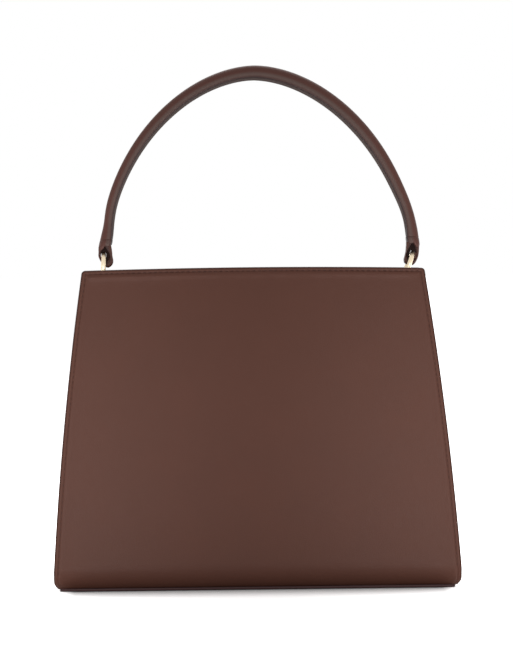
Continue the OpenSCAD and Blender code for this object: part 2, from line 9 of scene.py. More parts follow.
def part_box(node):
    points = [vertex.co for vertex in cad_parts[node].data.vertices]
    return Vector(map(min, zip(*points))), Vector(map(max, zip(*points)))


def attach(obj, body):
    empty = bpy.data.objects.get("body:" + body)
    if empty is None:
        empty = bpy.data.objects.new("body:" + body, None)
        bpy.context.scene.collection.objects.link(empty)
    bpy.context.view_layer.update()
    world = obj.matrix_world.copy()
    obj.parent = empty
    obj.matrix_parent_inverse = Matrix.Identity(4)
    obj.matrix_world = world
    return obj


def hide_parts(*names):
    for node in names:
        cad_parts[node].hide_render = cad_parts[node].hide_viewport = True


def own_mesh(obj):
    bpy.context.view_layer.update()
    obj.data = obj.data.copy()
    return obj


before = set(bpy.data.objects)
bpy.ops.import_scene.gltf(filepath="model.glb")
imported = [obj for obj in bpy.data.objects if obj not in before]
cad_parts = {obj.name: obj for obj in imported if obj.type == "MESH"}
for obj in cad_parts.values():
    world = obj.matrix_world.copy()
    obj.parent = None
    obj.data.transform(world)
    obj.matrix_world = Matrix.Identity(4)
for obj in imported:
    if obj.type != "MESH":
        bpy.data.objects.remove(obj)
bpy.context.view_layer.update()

# The faces
# Front and back are each one sheet of smooth calf leather, wider at the base than at the top.
# The lower edge curls in under the bag, and the other edges are stitched 3 mm in.
BASE_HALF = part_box("front_panel")[1].x
FOOT_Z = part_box("front_panel")[0].z
BODY_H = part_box("front_panel")[1].z
TOP_HALF = 0.131
BASE_DEPTH = -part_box("front_panel")[0].y
TOP_DEPTH = 0.018
SIDE_FOOT = 0.015
SIDE_BOW = 0.41
TUCK_H = 0.018
TUCK_IN = 0.012
CORNER_R = 0.0055
TOP_CORNER_R = 0.0025
CROWN = 0.0016
FACE_T = 0.0018
SLOPE = (BASE_DEPTH - TOP_DEPTH) / (BODY_H - TUCK_H)
# How far the middle swells, and the share of that which goes in soft waves
BULGE = 0.0026
WAVE_SHARE = 0.12
# The stitched groove: its place, depth and width, and the rise beside it
SEAM_IN = 0.0029
TOP_SEAM_IN = 0.0024
GROOVE = 0.00034
TOP_GROOVE = 0.0005
GROOVE_W = 0.00055
RISE = 0.00016
RISE_IN = 0.0027
RISE_W = 0.0018
# The rounding of the cut edge outside the groove
EDGE_DROP = 0.0006
EDGE_ROUND = 0.0011
# The pucker under the top edge, strongest to the left of a place, and one crease at that end
PUCKER = 0.0015
PULL_FROM = -0.02
PULL_W = 0.08
CREASE = 0.0005
CREASE_X = -0.1255
CREASE_IN = 0.0036
CREASE_W = 0.004
CREASE_H = 0.0006
# Which side of the bag each face is on
FACES = ((-1, "front"), (1, "back"))


def clamp(value):
    return min(1.0, max(0.0, value))


def ease(value):
    t = clamp(value)
    return t * t * (3 - 2 * t)


def bump_at(value, centre, width):
    """A smooth hill of height 1 round a place."""
    return math.exp(-((value - centre) / width) ** 2)


def half_width(z):
    t = max(0.0, (z - SIDE_FOOT) / (BODY_H - SIDE_FOOT))
    return BASE_HALF - (BASE_HALF - TOP_HALF) * (t * (1 - SIDE_BOW) + t * t * SIDE_BOW)


def corner_width(z):
    """Half the width of a face at a height, with its corners rounded off."""
    low = clamp((CORNER_R - (z - FOOT_Z)) / CORNER_R)
    high = clamp((z - (BODY_H - CROWN - TOP_CORNER_R)) / TOP_CORNER_R)
    width = half_width(z) - CORNER_R * (1 - math.sqrt(1 - low * low))
    return width - TOP_CORNER_R * (1 - math.sqrt(1 - high * high))


def half_depth(z):
    t = clamp((TUCK_H - z) / TUCK_H)
    return BASE_DEPTH - SLOPE * max(0.0, z - TUCK_H) - TUCK_IN * (1 - math.sqrt(1 - t * t))


def top_edge(x):
    return BODY_H - CROWN * (x / TOP_HALF) ** 2


def swell(x, z):
    """How far the leather of a face stands proud or sinks back, softly, over its boards."""
    across = x / half_width(z)
    up = (z - TUCK_H) / (BODY_H - TUCK_H)
    body = math.cos(math.pi / 2 * clamp(abs(across))) ** 2 * math.sin(math.pi * clamp(up)) ** 0.7
    wave = math.sin(across * 5.1 + 1.7 * up) * math.sin(math.pi * clamp(up)) * WAVE_SHARE
    return BULGE * (body + wave)


def face_point(x, z, depth=0.0):
    """A point of the front face, at a depth behind its outside."""
    return Vector((x, -half_depth(z) - swell(x, z) + depth, z))


def grid_sheet(columns, rows, place, around=None):
    """A sheet of columns by rows points, each set by place(i, j) and marked by around(i)."""
    bm = bmesh.new()
    mark = bm.verts.layers.float.new("around") if around else None
    bmesh.ops.create_grid(bm, x_segments=columns - 1, y_segments=rows - 1, size=1)
    for v in bm.verts:
        i = round((v.co.x + 1) / 2 * (columns - 1))
        j = round((v.co.y + 1) / 2 * (rows - 1))
        v.co = place(i, j)
        if around:
            v[mark] = around(i)
    return bm


def turn_towards(bm, direction):
    """Turns an open sheet's normals to a direction."""
    bm.normal_update()
    if sum(f.normal.dot(direction) * f.calc_area() for f in bm.faces) < 0:
        bmesh.ops.reverse_faces(bm, faces=bm.faces)


def facing_out(bm):
    """Turns the faces of a closed mesh outwards."""
    bmesh.ops.recalc_face_normals(bm, faces=bm.faces)
    return bm


def welded(bm):
    """Joins a skin to itself where its ends meet."""
    bmesh.ops.remove_doubles(bm, verts=bm.verts, dist=1e-7)
    return bm


def give_wall(bm, thickness, direction):
    """Turns a sheet's normals to a direction and gives it a wall behind them."""
    turn_towards(bm, direction)
    bm.normal_update()
    bmesh.ops.solidify(bm, geom=bm.faces[:], thickness=thickness)
    return facing_out(bm)


def in_scene(name, data):
    thing = bpy.data.objects.new(name, data)
    bpy.context.scene.collection.objects.link(thing)
    return thing


def as_object(bm, name, material):
    mesh = bpy.data.meshes.new(name)
    bm.to_mesh(mesh)
    bm.free()
    mesh.materials.append(material)
    return in_scene(name, mesh)


def as_piece(bm, name, body, material, replaces=()):
    """Makes a bmesh a smooth piece that rides on a body."""
    piece = as_object(bm, name, material)
    piece.data.shade_smooth()
    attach(piece, body)
    if replaces:
        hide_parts(*replaces)
    return piece


class Wire:
    """A value in a material's node tree. Sums of wires add Math nodes."""

    def __init__(self, tree, socket=None):
        self.tree = tree
        self.socket = socket

    def add(self, kind, settings=None, inputs=None, output=0):
        """Adds a node with its settings and the values or wires of its inputs."""
        node = self.tree.nodes.new(kind)
        for key, value in (settings or {}).items():
            if key == "stops":
                ramp = node.color_ramp
                while len(ramp.elements) < len(value):
                    ramp.elements.new(1.0)
                for element, (place, colour) in zip(ramp.elements, value):
                    element.position = place
                    element.color = colour
            else:
                setattr(node, key, value)
        for key, value in (inputs or {}).items():
            if isinstance(value, Wire):
                self.tree.links.new(value.socket, node.inputs[key])
            else:
                node.inputs[key].default_value = value
        return Wire(self.tree, None if output is None else node.outputs[output])

    def math(self, operation, a, b=0.0):
        return self.add("ShaderNodeMath", {"operation": operation}, {0: a, 1: b})

    def __add__(self, other):
        return self.math("ADD", self, other)

    __radd__ = __add__

    def __sub__(self, other):
        return self.math("SUBTRACT", self, other)

    def __rsub__(self, other):
        return self.math("SUBTRACT", other, self)

    def __mul__(self, other):
        return self.math("MULTIPLY", self, other)

    __rmul__ = __mul__

    def __pow__(self, other):
        return self.math("POWER", self, other)

    def clipped(self):
        return self.add("ShaderNodeClamp", None, {0: self})


def start_material(name, **fixed):
    """A new material with its fixed values on the shader, its wires and its surface's place."""
    material = bpy.data.materials.new(name)
    material.use_nodes = True
    wire = Wire(material.node_tree)
    shader = wire.tree.nodes["Principled BSDF"]
    for key, value in fixed.items():
        shader.inputs[key.replace("_", " ")].default_value = value
    return material, wire, wire.add("ShaderNodeTexCoord", output=3)


def dress(wire, colour, gloss, height=None, strength=0.5, distance=0.0002):
    """Gives the shader the colour, the roughness and the relief that vary over a surface."""
    varying = {"Base Color": colour, "Roughness": gloss}
    if height:
        varying["Normal"] = wire.add(
            "ShaderNodeBump", None,
            {"Strength": strength, "Distance": distance, "Height": height})
    for key, value in varying.items():
        wire.tree.links.new(value.socket, wire.tree.nodes["Principled BSDF"].inputs[key])


def noise(wire, place, scale, detail=3.0, rough=0.5):
    return wire.add("ShaderNodeTexNoise", None,
                    {"Vector": place, "Scale": scale, "Detail": detail, "Roughness": rough})


def shade_of(colour, share):
    return tuple(min(1.0, c * share) for c in colour[:3]) + (1.0,)


def mix_colours(wire, share, a, b, blend="MIX"):
    settings = {"data_type": "RGBA", "blend_type": blend}
    return wire.add("ShaderNodeMix", settings, {0: share, 6: a, 7: b}, 2)


def tones(wire, share, colour, low, high):
    """A colour that varies from a darker to a lighter share of itself."""
    return mix_colours(wire, share, shade_of(colour, low), shade_of(colour, high))


PORE_SCALE = 1500.0


def calf_leather(name, colour, rough, grain, bands=None):
    """Smooth dyed calf: fine pores, faint creases, a soft mottle and a satin finish. Bands are
    the shares of the colour from the outside of a roll to its underside."""
    material, wire, place = start_material(name, Specular_IOR_Level=0.15)
    mottle = noise(wire, place, 26.0, 4.0, 0.55)
    cloud = noise(wire, place, 7.0, 2.0)
    pores = wire.add("ShaderNodeTexVoronoi", {"feature": "DISTANCE_TO_EDGE"},
                     {"Vector": place, "Scale": PORE_SCALE, "Randomness": 1.0})
    fine = noise(wire, place, PORE_SCALE * 0.55, 3.0, 0.6)
    creases = noise(wire, place, 240.0, 3.0, 0.6)
    tone = (mottle - 0.5) * 0.9 + (cloud - 0.5) * 0.7 + 0.5
    base = tones(wire, tone.clipped(), colour, 0.93, 1.07)
    speck = (pores ** 0.5 * 6.0).clipped()
    base = mix_colours(wire, speck, shade_of(colour, 0.86), base)
    # The bands paint light and shade round a roll or strap by lightening or darkening the colour
    if bands:
        turned = wire.add("ShaderNodeAttribute", {"attribute_name": "around"}, output="Fac")
        shares = wire.add("ShaderNodeValToRGB", {"stops": bands}, {0: turned})
        base = mix_colours(wire, 1.0, base, shares, "MULTIPLY")
    height = pores ** 0.6 * 3.0 + fine * 0.55 + creases * 0.35
    gloss = (mottle - 0.5) * 0.10 + (fine - 0.5) * 0.10 + rough
    dress(wire, base, gloss, height, grain, 0.00012)
    return material


face_leather = calf_leather("face_leather", (0.0855, 0.0325, 0.0218), 0.42, 0.35)

# Distances of the sheet's lines from its edges, close together at the stitched groove
EDGE_LINES = [0, 0.0003, 0.0008, 0.0014, 0.0019, 0.0023, 0.0026, 0.0029, 0.0032, 0.0036,
              0.0042, 0.005, 0.006, 0.0073, 0.009]
MIDDLE_COLUMNS = 72
MIDDLE_ROWS = 70
COLUMNS = 2 * len(EDGE_LINES) + MIDDLE_COLUMNS
ROWS = 2 * len(EDGE_LINES) + MIDDLE_ROWS
# Height above the foot from which the sheet's rows bend down to the crowned top edge
DROP_FROM = 0.1


def line_place(index, count, length):
    """Where a line of the sheet lies along a length, from one edge to the other."""
    edge = len(EDGE_LINES)
    if index < edge:
        return EDGE_LINES[index]
    if index >= count - edge:
        return length - EDGE_LINES[count - 1 - index]
    step = (index - edge + 1) / (count - 2 * edge + 1)
    return EDGE_LINES[-1] + (length - 2 * EDGE_LINES[-1]) * step


def seam_relief(distance, seam=SEAM_IN, groove=GROOVE, rise=RISE):
    """The stitched groove, the rounded edge outside it and the soft rise inside it."""
    edge = EDGE_DROP * (1 - ease(distance / EDGE_ROUND)) ** 2
    rise *= bump_at(distance, seam + RISE_IN, RISE_W)
    return rise - edge - groove * bump_at(distance, seam, GROOVE_W)


def top_relief(x, distance):
    """Under the top edge the leather puckers along the stitches, most of all on the left."""
    pull = 0.45 + 0.55 * ease((PULL_FROM - x) / PULL_W)
    ripple = 0.75 + 0.25 * math.sin(x * 310 + 2.0 * math.sin(x * 90))
    crease = CREASE * bump_at(x, CREASE_X, CREASE_W) * bump_at(distance, CREASE_IN, CREASE_H)
    return seam_relief(distance, TOP_SEAM_IN, TOP_GROOVE, PUCKER * pull * ripple) - crease


def face_sheet(side):
    """One face, for the front with side -1 and the back with side 1."""
    def place(i, j):
        along = line_place(j, ROWS, BODY_H - FOOT_Z)
        share = ease((along - DROP_FROM) / (BODY_H - FOOT_Z - DROP_FROM))
        width = corner_width(FOOT_Z + along - CROWN * share)
        x = line_place(i, COLUMNS, 2 * width) - width
        z = FOOT_Z + along - (BODY_H - top_edge(x)) * share
        from_side, from_top = width - abs(x), BODY_H - FOOT_Z - along
        point = face_point(x, z)
        if from_top - TOP_SEAM_IN < from_side - SEAM_IN:
            point.y -= top_relief(x, from_top)
        else:
            point.y -= seam_relief(from_side)
        point.y *= -side
        return point

    return give_wall(grid_sheet(COLUMNS, ROWS, place), FACE_T, Vector((0, side, SLOPE)))


for side, face in FACES:
    as_piece(face_sheet(side), f"{face}_face", "bag", face_leather,
             [f"{face}_panel"])

# The painted edges
# The raw edges of each face, with the gusset flange or the facing behind it, are sanded to
# one band and sealed with several coats of thick edge paint, which stands a little proud.
FLANGE_T = 0.0016
GLUE_GAP = 0.0001
SIDE_BAND = FACE_T + FLANGE_T + 2 * GLUE_GAP
TOP_BAND = 0.0048
SEAM_W = 0.009
PAINT_PROUD = 0.0005
BAND_POINTS = 11
CLOSE_BY = 0.0005


def arc(x, z, radius, start, end, steps):
    """Points round part of a circle, with both ends. The angles are in quarter turns."""
    angles = [math.pi / 2 * (start + (end - start) * k / steps) for k in range(steps + 1)]
    return [(x + radius * math.cos(a), z + radius * math.sin(a)) for a in angles]


def half_outline():
    """The outline of a face from its left foot up to the middle of its top edge."""
    points = arc(CORNER_R - half_width(0), FOOT_Z + CORNER_R, CORNER_R, -1, -2, 10)[:-1]
    shoulder = BODY_H - CROWN - TOP_CORNER_R
    for k in range(100):
        z = FOOT_Z + CORNER_R + (shoulder - FOOT_Z - CORNER_R) * k / 100
        points.append((-half_width(z), z))
    turn_x = TOP_CORNER_R - half_width(shoulder)
    points += arc(turn_x, shoulder, TOP_CORNER_R, 2, 1, 8)[:-1]
    return points + [(turn_x * (1 - k / 60), top_edge(turn_x * (1 - k / 60))) for k in range(61)]


def face_normal(z):
    """Direction out of the front face at a height."""
    up = face_point(0, z + CLOSE_BY) - face_point(0, z - CLOSE_BY)
    return Vector((0, -up.z, up.y)).normalized()


def outline_frames(inset=0.0, pitch=None):
    """Points round a face's edge with their outward, along and normal directions."""
    half = half_outline()
    flat = half + [(-x, z) for x, z in reversed(half[:-1])]
    spots = [face_point(x, z) for x, z in flat]
    frames = []
    for k, spot in enumerate(spots):
        along = (spots[min(k + 1, len(spots) - 1)] - spots[max(k - 1, 0)]).normalized()
        normal = face_normal(spot.z)
        outward = normal.cross(along).normalized()
        inwards = inset + (TOP_SEAM_IN - SEAM_IN) * max(0.0, outward.z) if inset else 0.0
        frames.append((spot - outward * inwards, outward, along, normal))
    if pitch is None:
        return frames
    even, walked = [], 0.0
    for (p, *_), (q, outward, along, normal) in zip(frames, frames[1:]):
        step = (q - p).length
        while walked <= step:
            even.append((p + (q - p) * (walked / step), outward, along, normal))
            walked += pitch
        walked -= step
    return even


def edge_paint(name, colour):
    material, wire, place = start_material(name, Specular_IOR_Level=0.18, Coat_Weight=0.03,
                                           Coat_Roughness=0.4)
    brush = noise(wire, place, 420.0, 3.0)
    cloud = noise(wire, place, 60.0, 2.0)
    base = tones(wire, cloud, colour, 0.85, 1.12)
    dress(wire, base, (brush - 0.5) * 0.2 + 0.42, brush, 0.3, 0.00015)
    return material


dark_paint = edge_paint("edge_paint", (0.050, 0.0205, 0.0160))


def tube(steps, sides, place, around=None):
    """A closed skin of rings, each point set by place(ring, side)."""
    bm = welded(grid_sheet(sides + 1, steps, lambda i, j: place(j, i % sides), around))
    bmesh.ops.holes_fill(bm, edges=[e for e in bm.edges if e.is_boundary], sides=0)
    return facing_out(bm)


def edge_band(side):
    """The painted bead round a face: half round outside, flat against the leather inside."""
    frames = outline_frames()

    def place(ring, k):
        spot, outward, _, normal = frames[ring]
        at_top = ease((TOP_HALF - SEAM_W - abs(spot.x)) / SEAM_W)
        depth = SIDE_BAND + (TOP_BAND - SIDE_BAND) * at_top
        a = math.pi * k / (BAND_POINTS - 1)
        if k < BAND_POINTS:
            back, out = depth * (1 - math.cos(a)) / 2, PAINT_PROUD * math.sin(a) ** 0.5
        else:
            back, out = depth * (BAND_POINTS + 2 - k) / 3, -PAINT_PROUD
        point = spot + outward * out - normal * back
        point.y *= -side
        return point

    return tube(len(frames), BAND_POINTS + 2, place)


for side, face in FACES:
    as_piece(edge_band(side), f"{face}_edge_paint", "bag", dark_paint)

# The seams
# Waxed brown thread, six stitches to the inch, sunk in the groove along each face's edges.
STITCH_PITCH = 0.0042
STITCH_LENGTH = 0.0027
THREAD_R = 0.00026
THREAD_SINK = 0.0002


def thread(name, colour):
    material, wire, place = start_material(name, Specular_IOR_Level=0.2)
    twist = wire.add("ShaderNodeTexWave", {"wave_type": "BANDS", "bands_direction": "DIAGONAL"},
                     {"Vector": place, "Scale": 900.0, "Distortion": 1.0})
    base = tones(wire, twist, colour, 0.7, 1.15)
    dress(wire, base, twist * 0.15 + 0.5, twist, 0.5, 0.0001)
    return material


brown_thread = thread("brown_thread", (0.062, 0.025, 0.019))


def add_stitch(bm, place, along, normal, length=STITCH_LENGTH, radius=THREAD_R):
    """One stitch: a short rounded thread lying along a direction."""
    across = normal.cross(along).normalized()
    turn = Matrix((along, across, normal)).transposed().to_4x4()
    size = Matrix.Diagonal((length / 2, radius, radius, 1))
    matrix = Matrix.Translation(place) @ turn @ size
    bmesh.ops.create_uvsphere(bm, u_segments=6, v_segments=6, radius=1,
                              matrix=matrix @ Matrix.Rotation(math.pi / 2, 4, "Y"))


def face_stitches(side):
    bm = bmesh.new()
    for point, _, along, normal in outline_frames(SEAM_IN, STITCH_PITCH)[3:-3]:
        point = point - normal * THREAD_SINK
        for vector in (point, along, normal):
            vector.y *= -side
        add_stitch(bm, point, along, normal)
    return facing_out(bm)


for side, face in FACES:
    as_piece(face_stitches(side), f"{face}_stitches", "bag", brown_thread)

# The base
# One flat piece of thicker leather with a rounded edge, under a stiff board.
BASE_CORNER_R = 0.003
BASE_EDGE_R = 0.0007
# How far its ends lie inside the faces' corners
BASE_END_IN = 0.0042
base_low, base_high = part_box("base_panel")
base_low.x = BASE_END_IN - BASE_HALF
base_high.x = BASE_HALF - BASE_END_IN


def soften(bm, edges, radius, segments=2):
    bmesh.ops.bevel(bm, geom=edges, offset=radius, offset_type="OFFSET", affect="EDGES",
                    segments=segments, profile=0.5, material=-1)


def soften_rims(bm, radius, segments=2):
    """Rounds a cut piece all along its sharp edges."""
    rims = [e for e in bm.edges if len(e.link_faces) == 2 and e.calc_face_angle() > 1.0]
    soften(bm, rims, radius, segments)
    return bm


def round_plate(low, high, radius, segments, edge_round):
    """A flat plate with round corners and softened edges."""
    bm = bmesh.new()
    size = high - low
    bmesh.ops.create_cube(bm, size=1, matrix=Matrix.Translation((low + high) / 2)
                          @ Matrix.Diagonal((*size, 1)))
    upright = [e for e in bm.edges if abs((e.verts[0].co - e.verts[1].co).normalized().z) > 0.9]
    soften(bm, upright, radius, segments)
    return soften_rims(bm, edge_round, 3)


base_hide = calf_leather("base_leather", (0.055, 0.026, 0.026), 0.5, 0.35)
base = round_plate(base_low, base_high, BASE_CORNER_R, 8, BASE_EDGE_R)
as_piece(base, "base_leather", "bag", base_hide, ["base_panel"])

# The gussets
# The sides are single sheets of the same leather. Their flanges are stitched behind the
# faces' edges, and their walls fold in more and more towards the top.
GUSSET_T = 0.0016
INSIDE_AT = 0.0048
GUSSET_AT = INSIDE_AT + 3 * GLUE_GAP
RING_BAR = Vector((0.1155, 0, 0.232))
MID_HEAD = RING_BAR.x + 0.00135
MID_FOOT = BASE_HALF - SEAM_W
DIP_Z = RING_BAR.z - 0.0085
RISE_Z = BODY_H - 0.004
FLAT_SHARE = 0.5
WALL_SAG = 0.0009
ACROSS = 44
LEVELS = 76
# Which side of the bag each gusset, ring and tab is on
HANDS = ((-1, "left"), (1, "right"))


def wall_mid(z):
    return MID_HEAD + (MID_FOOT - MID_HEAD) * (RING_BAR.z - z) / (RING_BAR.z - FOOT_Z)


def fold_in(u):
    if abs(u) <= FLAT_SHARE:
        return 1.0
    return (1 + math.cos(math.pi * (abs(u) - FLAT_SHARE) / (1 - FLAT_SHARE))) / 2


def wall_top(u, lower=0.0):
    return DIP_Z + (RISE_Z - DIP_Z) * abs(u) ** 4 - lower


def gusset_wall(u, v, foot, lower=0.0):
    """A point of the right gusset's outside, u across and v up."""
    z = foot + v * (wall_top(u, lower) - foot)
    root = half_width(z) - SEAM_W
    soft = WALL_SAG * math.sin(math.pi * clamp(v)) * math.cos(math.pi / 2 * u) ** 2
    x = root - (root - wall_mid(z)) * fold_in(u) - soft
    return Vector((x, u * (half_depth(z) - GUSSET_AT), z))


def gusset_sheet(side):
    """One gusset from flange tip to flange tip."""
    flange = 6

    def place(i, j):
        v = (j / (LEVELS - 1)) ** 1.25
        z = FOOT_Z + v * (RISE_Z - FOOT_Z)
        y = half_depth(z) - FACE_T - GLUE_GAP - FLANGE_T
        root = half_width(z) - SEAM_W
        tip = corner_width(z) - 2 * GLUE_GAP
        if i < flange:
            point = Vector((tip + (root - tip) * i / (flange - 1), -y, z))
        elif i >= ACROSS + flange:
            share = (i - ACROSS - flange) / (flange - 1)
            point = Vector((root + (tip - root) * share, y, z))
        else:
            u = 2 * (i - flange) / (ACROSS - 1) - 1
            point = gusset_wall(u, v, FOOT_Z)
        point.x *= side
        return point

    bm = grid_sheet(ACROSS + 2 * flange, LEVELS, place)
    return give_wall(bm, GUSSET_T, Vector((side, 0, 0)))


for side, hand in HANDS:
    as_piece(gusset_sheet(side), f"{hand}_gusset_leather", "bag", face_leather,
             [f"{hand}_gusset"])

# The lining
# Brown microsuede glued over the boards: four walls and a floor, with a leather band along
# the inside of the top edge.


def suede(name, colour):
    material, wire, place = start_material(name, Sheen_Weight=0.35, Sheen_Roughness=0.4,
                                           Specular_IOR_Level=0.2)
    nap = noise(wire, place, 2600.0, 3.0, 0.7)
    brushed = noise(wire, place, 45.0, 4.0, 0.6)
    base = tones(wire, (brushed * 0.7 + nap * 0.4 - 0.05).clipped(), colour, 0.78, 1.25)
    dress(wire, base, nap * 0.15 + 0.8, nap)
    return material


lining_suede = suede("lining_suede", (0.150, 0.080, 0.056))
FLOOR_Z = 0.0065
FACING_FOOT = BODY_H - 0.032
FACING_T = 0.0018
FACING_DROP = 0.0016
LINING_T = 0.0008
LINING_DROP = 0.001
SIDE_GAP = 0.0003
RIM_SHARE = 0.3
INNER_INSET = SEAM_W + GUSSET_T + 2 * GLUE_GAP


def cut_piece(bm, thickness, direction):
    """Gives a sheet that faces a direction its wall and soft cut edges."""
    return soften_rims(give_wall(bm, thickness, direction), thickness * RIM_SHARE)


def inner_wall(side, z0, z1, thickness, rows, columns=60):
    """A layer inside a face between two heights."""
    def place(i, j):
        z = z0 + (z1 - z0) * j / (rows - 1)
        x = (half_width(z) - INNER_INSET) * (2 * i / (columns - 1) - 1)
        z -= (BODY_H - top_edge(x)) * clamp((z - FACING_FOOT) / (BODY_H - FACING_FOOT))
        return Vector((x, side * (half_depth(z) - INSIDE_AT), z))

    return cut_piece(grid_sheet(columns, rows, place), thickness, Vector((0, -side, 0)))


for side, face in FACES:
    as_piece(inner_wall(side, FLOOR_Z, FACING_FOOT, LINING_T, 40),
             f"{face}_suede", "bag", lining_suede, [f"{face}_lining"])
    as_piece(inner_wall(side, FACING_FOOT, BODY_H - FACING_DROP, FACING_T, 10),
             f"{face}_band", "bag", face_leather, [f"{face}_facing"])


def gusset_suede(side):
    columns, rows = 40, 50

    def place(i, j):
        u = 2 * i / (columns - 1) - 1
        point = gusset_wall(u, j / (rows - 1), FLOOR_Z, LINING_DROP)
        point.x = side * (point.x - GUSSET_T - LINING_T - SIDE_GAP)
        return point

    return give_wall(grid_sheet(columns, rows, place), LINING_T, Vector((-side, 0, 0)))


for side, hand in HANDS:
    as_piece(gusset_suede(side), f"{hand}_side_suede", "bag", lining_suede,
             [f"{hand}_gusset_lining"])

floor_low, floor_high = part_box("base_lining")
FLOOR_EDGE_R = 0.0003
floor = round_plate(floor_low, floor_high, CORNER_R, 5, FLOOR_EDGE_R)
as_piece(floor, "floor_suede", "bag", lining_suede, ["base_lining"])

# The handle
# Leather rolled round a cord core, with its two edges sewn and painted as a narrow ridge on
# the underside. It is fullest in the middle and flattens into a collar at each end.
ROLL_R = 0.0054
ROLL_END_R = 0.0033
FULL_SKEW = 1.45
RIDGE_H = 0.0012
# Angles from the underside, where the ridge ends and where its stitches are sunk
RIDGE_ANGLE = 0.42
RIDGE_SOFT = 0.16
SEW_ANGLE = 0.5
SEW_SOFT = 0.08
SEW_DEPTH = 0.0004
WRAP_T = 0.0015
RING_RISE = 0.0245
LEFT_LEAN = math.radians(2)
RIGHT_LEAN = math.radians(19.5)
LOOP_LEAN = math.radians(10)
LOOP_OFFSET = 0.0011
HANDLE_TOP = 0.401
HANDLE_END = 0.2625
ARCH_POWER = 1.83
ARCH_SKEW = 0.0023
# How far the leather bows to the right just above each end, at what height and how far up
LEFT_BOW = (0.0018, 0.2725, 0.0165)
RIGHT_BOW = (0.0012, 0.286, 0.017)
ARCH_FOOT = HANDLE_END - 0.009
ARCH_H = HANDLE_TOP - ROLL_R - ARCH_FOOT
END_SHARE = (HANDLE_END - ARCH_FOOT) / ARCH_H
END_ANGLE = math.asin(END_SHARE ** (ARCH_POWER / 2))
LOOP_W = 0.010
COLLAR_W = LOOP_W / 2 + WRAP_T
COLLAR_T = 0.0051
COLLAR_SQUARE = 0.10


def loop_end(bar_x, lean, sign):
    """Where the roll ends above a ring."""
    x = bar_x + RING_RISE * math.sin(lean) - sign * LOOP_OFFSET
    z = RING_BAR.z + RING_RISE * math.cos(lean)
    return x + sign * (HANDLE_END - z) * math.tan(LOOP_LEAN)


LEFT_END = loop_end(-RING_BAR.x, LEFT_LEAN, -1)
RIGHT_END = loop_end(RING_BAR.x, RIGHT_LEAN, 1)
ARCH_MID = (LEFT_END + RIGHT_END) / 2
ARCH_HALF = (RIGHT_END - LEFT_END) / 2 / math.cos(END_ANGLE) ** (2 / ARCH_POWER)


def roll_point(s):
    a = math.pi - END_ANGLE - (math.pi - 2 * END_ANGLE) * s
    h = math.sin(a) ** (2 / ARCH_POWER)
    reach = math.copysign(abs(math.cos(a)) ** (2 / ARCH_POWER), math.cos(a))
    x = ARCH_MID + ARCH_HALF * reach - ARCH_SKEW * (h - END_SHARE) / (1 - END_SHARE)
    z = ARCH_FOOT + ARCH_H * h
    bow, *height = LEFT_BOW if s < 0.5 else RIGHT_BOW
    return Vector((x + bow * bump_at(z, *height), 0, z))


ROLL_L = sum((roll_point((k + 1) / 200) - roll_point(k / 200)).length for k in range(200))
LEFT_COLLAR_L = 0.021
RIGHT_COLLAR_L = 0.030
TURN_L = 0.013


def roll_tangent(s):
    return (roll_point(min(1, s + 0.003)) - roll_point(max(0, s - 0.003))).normalized()


def collar_share(s):
    return ease(1 - min(s, 1 - s) * ROLL_L / (LEFT_COLLAR_L if s < 0.5 else RIGHT_COLLAR_L))


def roll_axes(s):
    """Direction along the roll and direction out of the arch."""
    lean = Vector((-math.sin(LOOP_LEAN), 0, math.cos(LOOP_LEAN)))
    if s > 0.5:
        lean = Vector((-math.sin(LOOP_LEAN), 0, -math.cos(LOOP_LEAN)))
    share = ease(1 - min(s, 1 - s) * ROLL_L / TURN_L)
    along = roll_tangent(s).lerp(lean, share).normalized()
    return along, Vector((-along.z, 0, along.x))


def roll_radius(s):
    return ROLL_END_R + (ROLL_R - ROLL_END_R) * math.sin(math.pi * s ** FULL_SKEW) ** 0.8


def roll_section(s, angle, proud=0.0):
    """A point of the roll's skin. Angle 0 is outside the arch and pi is its underside."""
    share = collar_share(s)
    radius = roll_radius(s)
    thick = radius + (COLLAR_T - radius) * share + proud
    wide = radius + (COLLAR_W - radius) * share + proud
    away = abs(math.pi - angle % math.tau)
    ridge = RIDGE_H * (1 - share) * ease((RIDGE_ANGLE - away) / RIDGE_SOFT)
    groove = -SEW_DEPTH * (1 - share) * bump_at(away, SEW_ANGLE, SEW_SOFT)
    square = 1 + COLLAR_SQUARE * share * math.sin(2 * angle) ** 2
    depth = (thick * square + ridge + groove) * math.cos(angle)
    width = (wide * square + ridge * 0.3 + groove) * math.sin(angle)
    return roll_point(s) + roll_axes(s)[1] * depth + Vector((0, width, 0))


HANDLE_BROWN = (0.083, 0.0335, 0.0245)
handle_leather = calf_leather("handle_leather", HANDLE_BROWN, 0.40, 0.30)
# Painted light and shade: a highlight over the lower half and shade at the seam
# The ridge has its edge paint, with a painted reflection of the white room on its rim
ROLL_PAINTED_LIGHT = [(0.0, (0.90, 0.60, 0.54, 1)), (0.42, (0.83, 0.53, 0.48, 1)),
              (0.56, (0.88, 0.82, 0.80, 1)), (0.68, (1.0, 1.0, 1.0, 1)),
              (0.80, (0.78, 0.66, 0.66, 1)), (0.88, (0.36, 0.34, 0.40, 1)),
              (0.935, (0.36, 0.36, 0.44, 1)), (0.965, (0.80, 0.95, 1.0, 1))]
roll_leather = calf_leather("roll_leather", (0.112, 0.070, 0.060), 0.40, 0.30, ROLL_PAINTED_LIGHT)
ROLL_STEPS = 260
ROLL_SIDES = 72
RIDGE_PITCH = 0.0038
RIDGE_STITCH = 0.0025
FINE_THREAD_R = 0.00022
THREAD_PROUD = 0.00002


def turned(side, sides):
    """0 on the outside of the arch and 1 on its underside."""
    return (1 - math.cos(math.tau * side / sides)) / 2


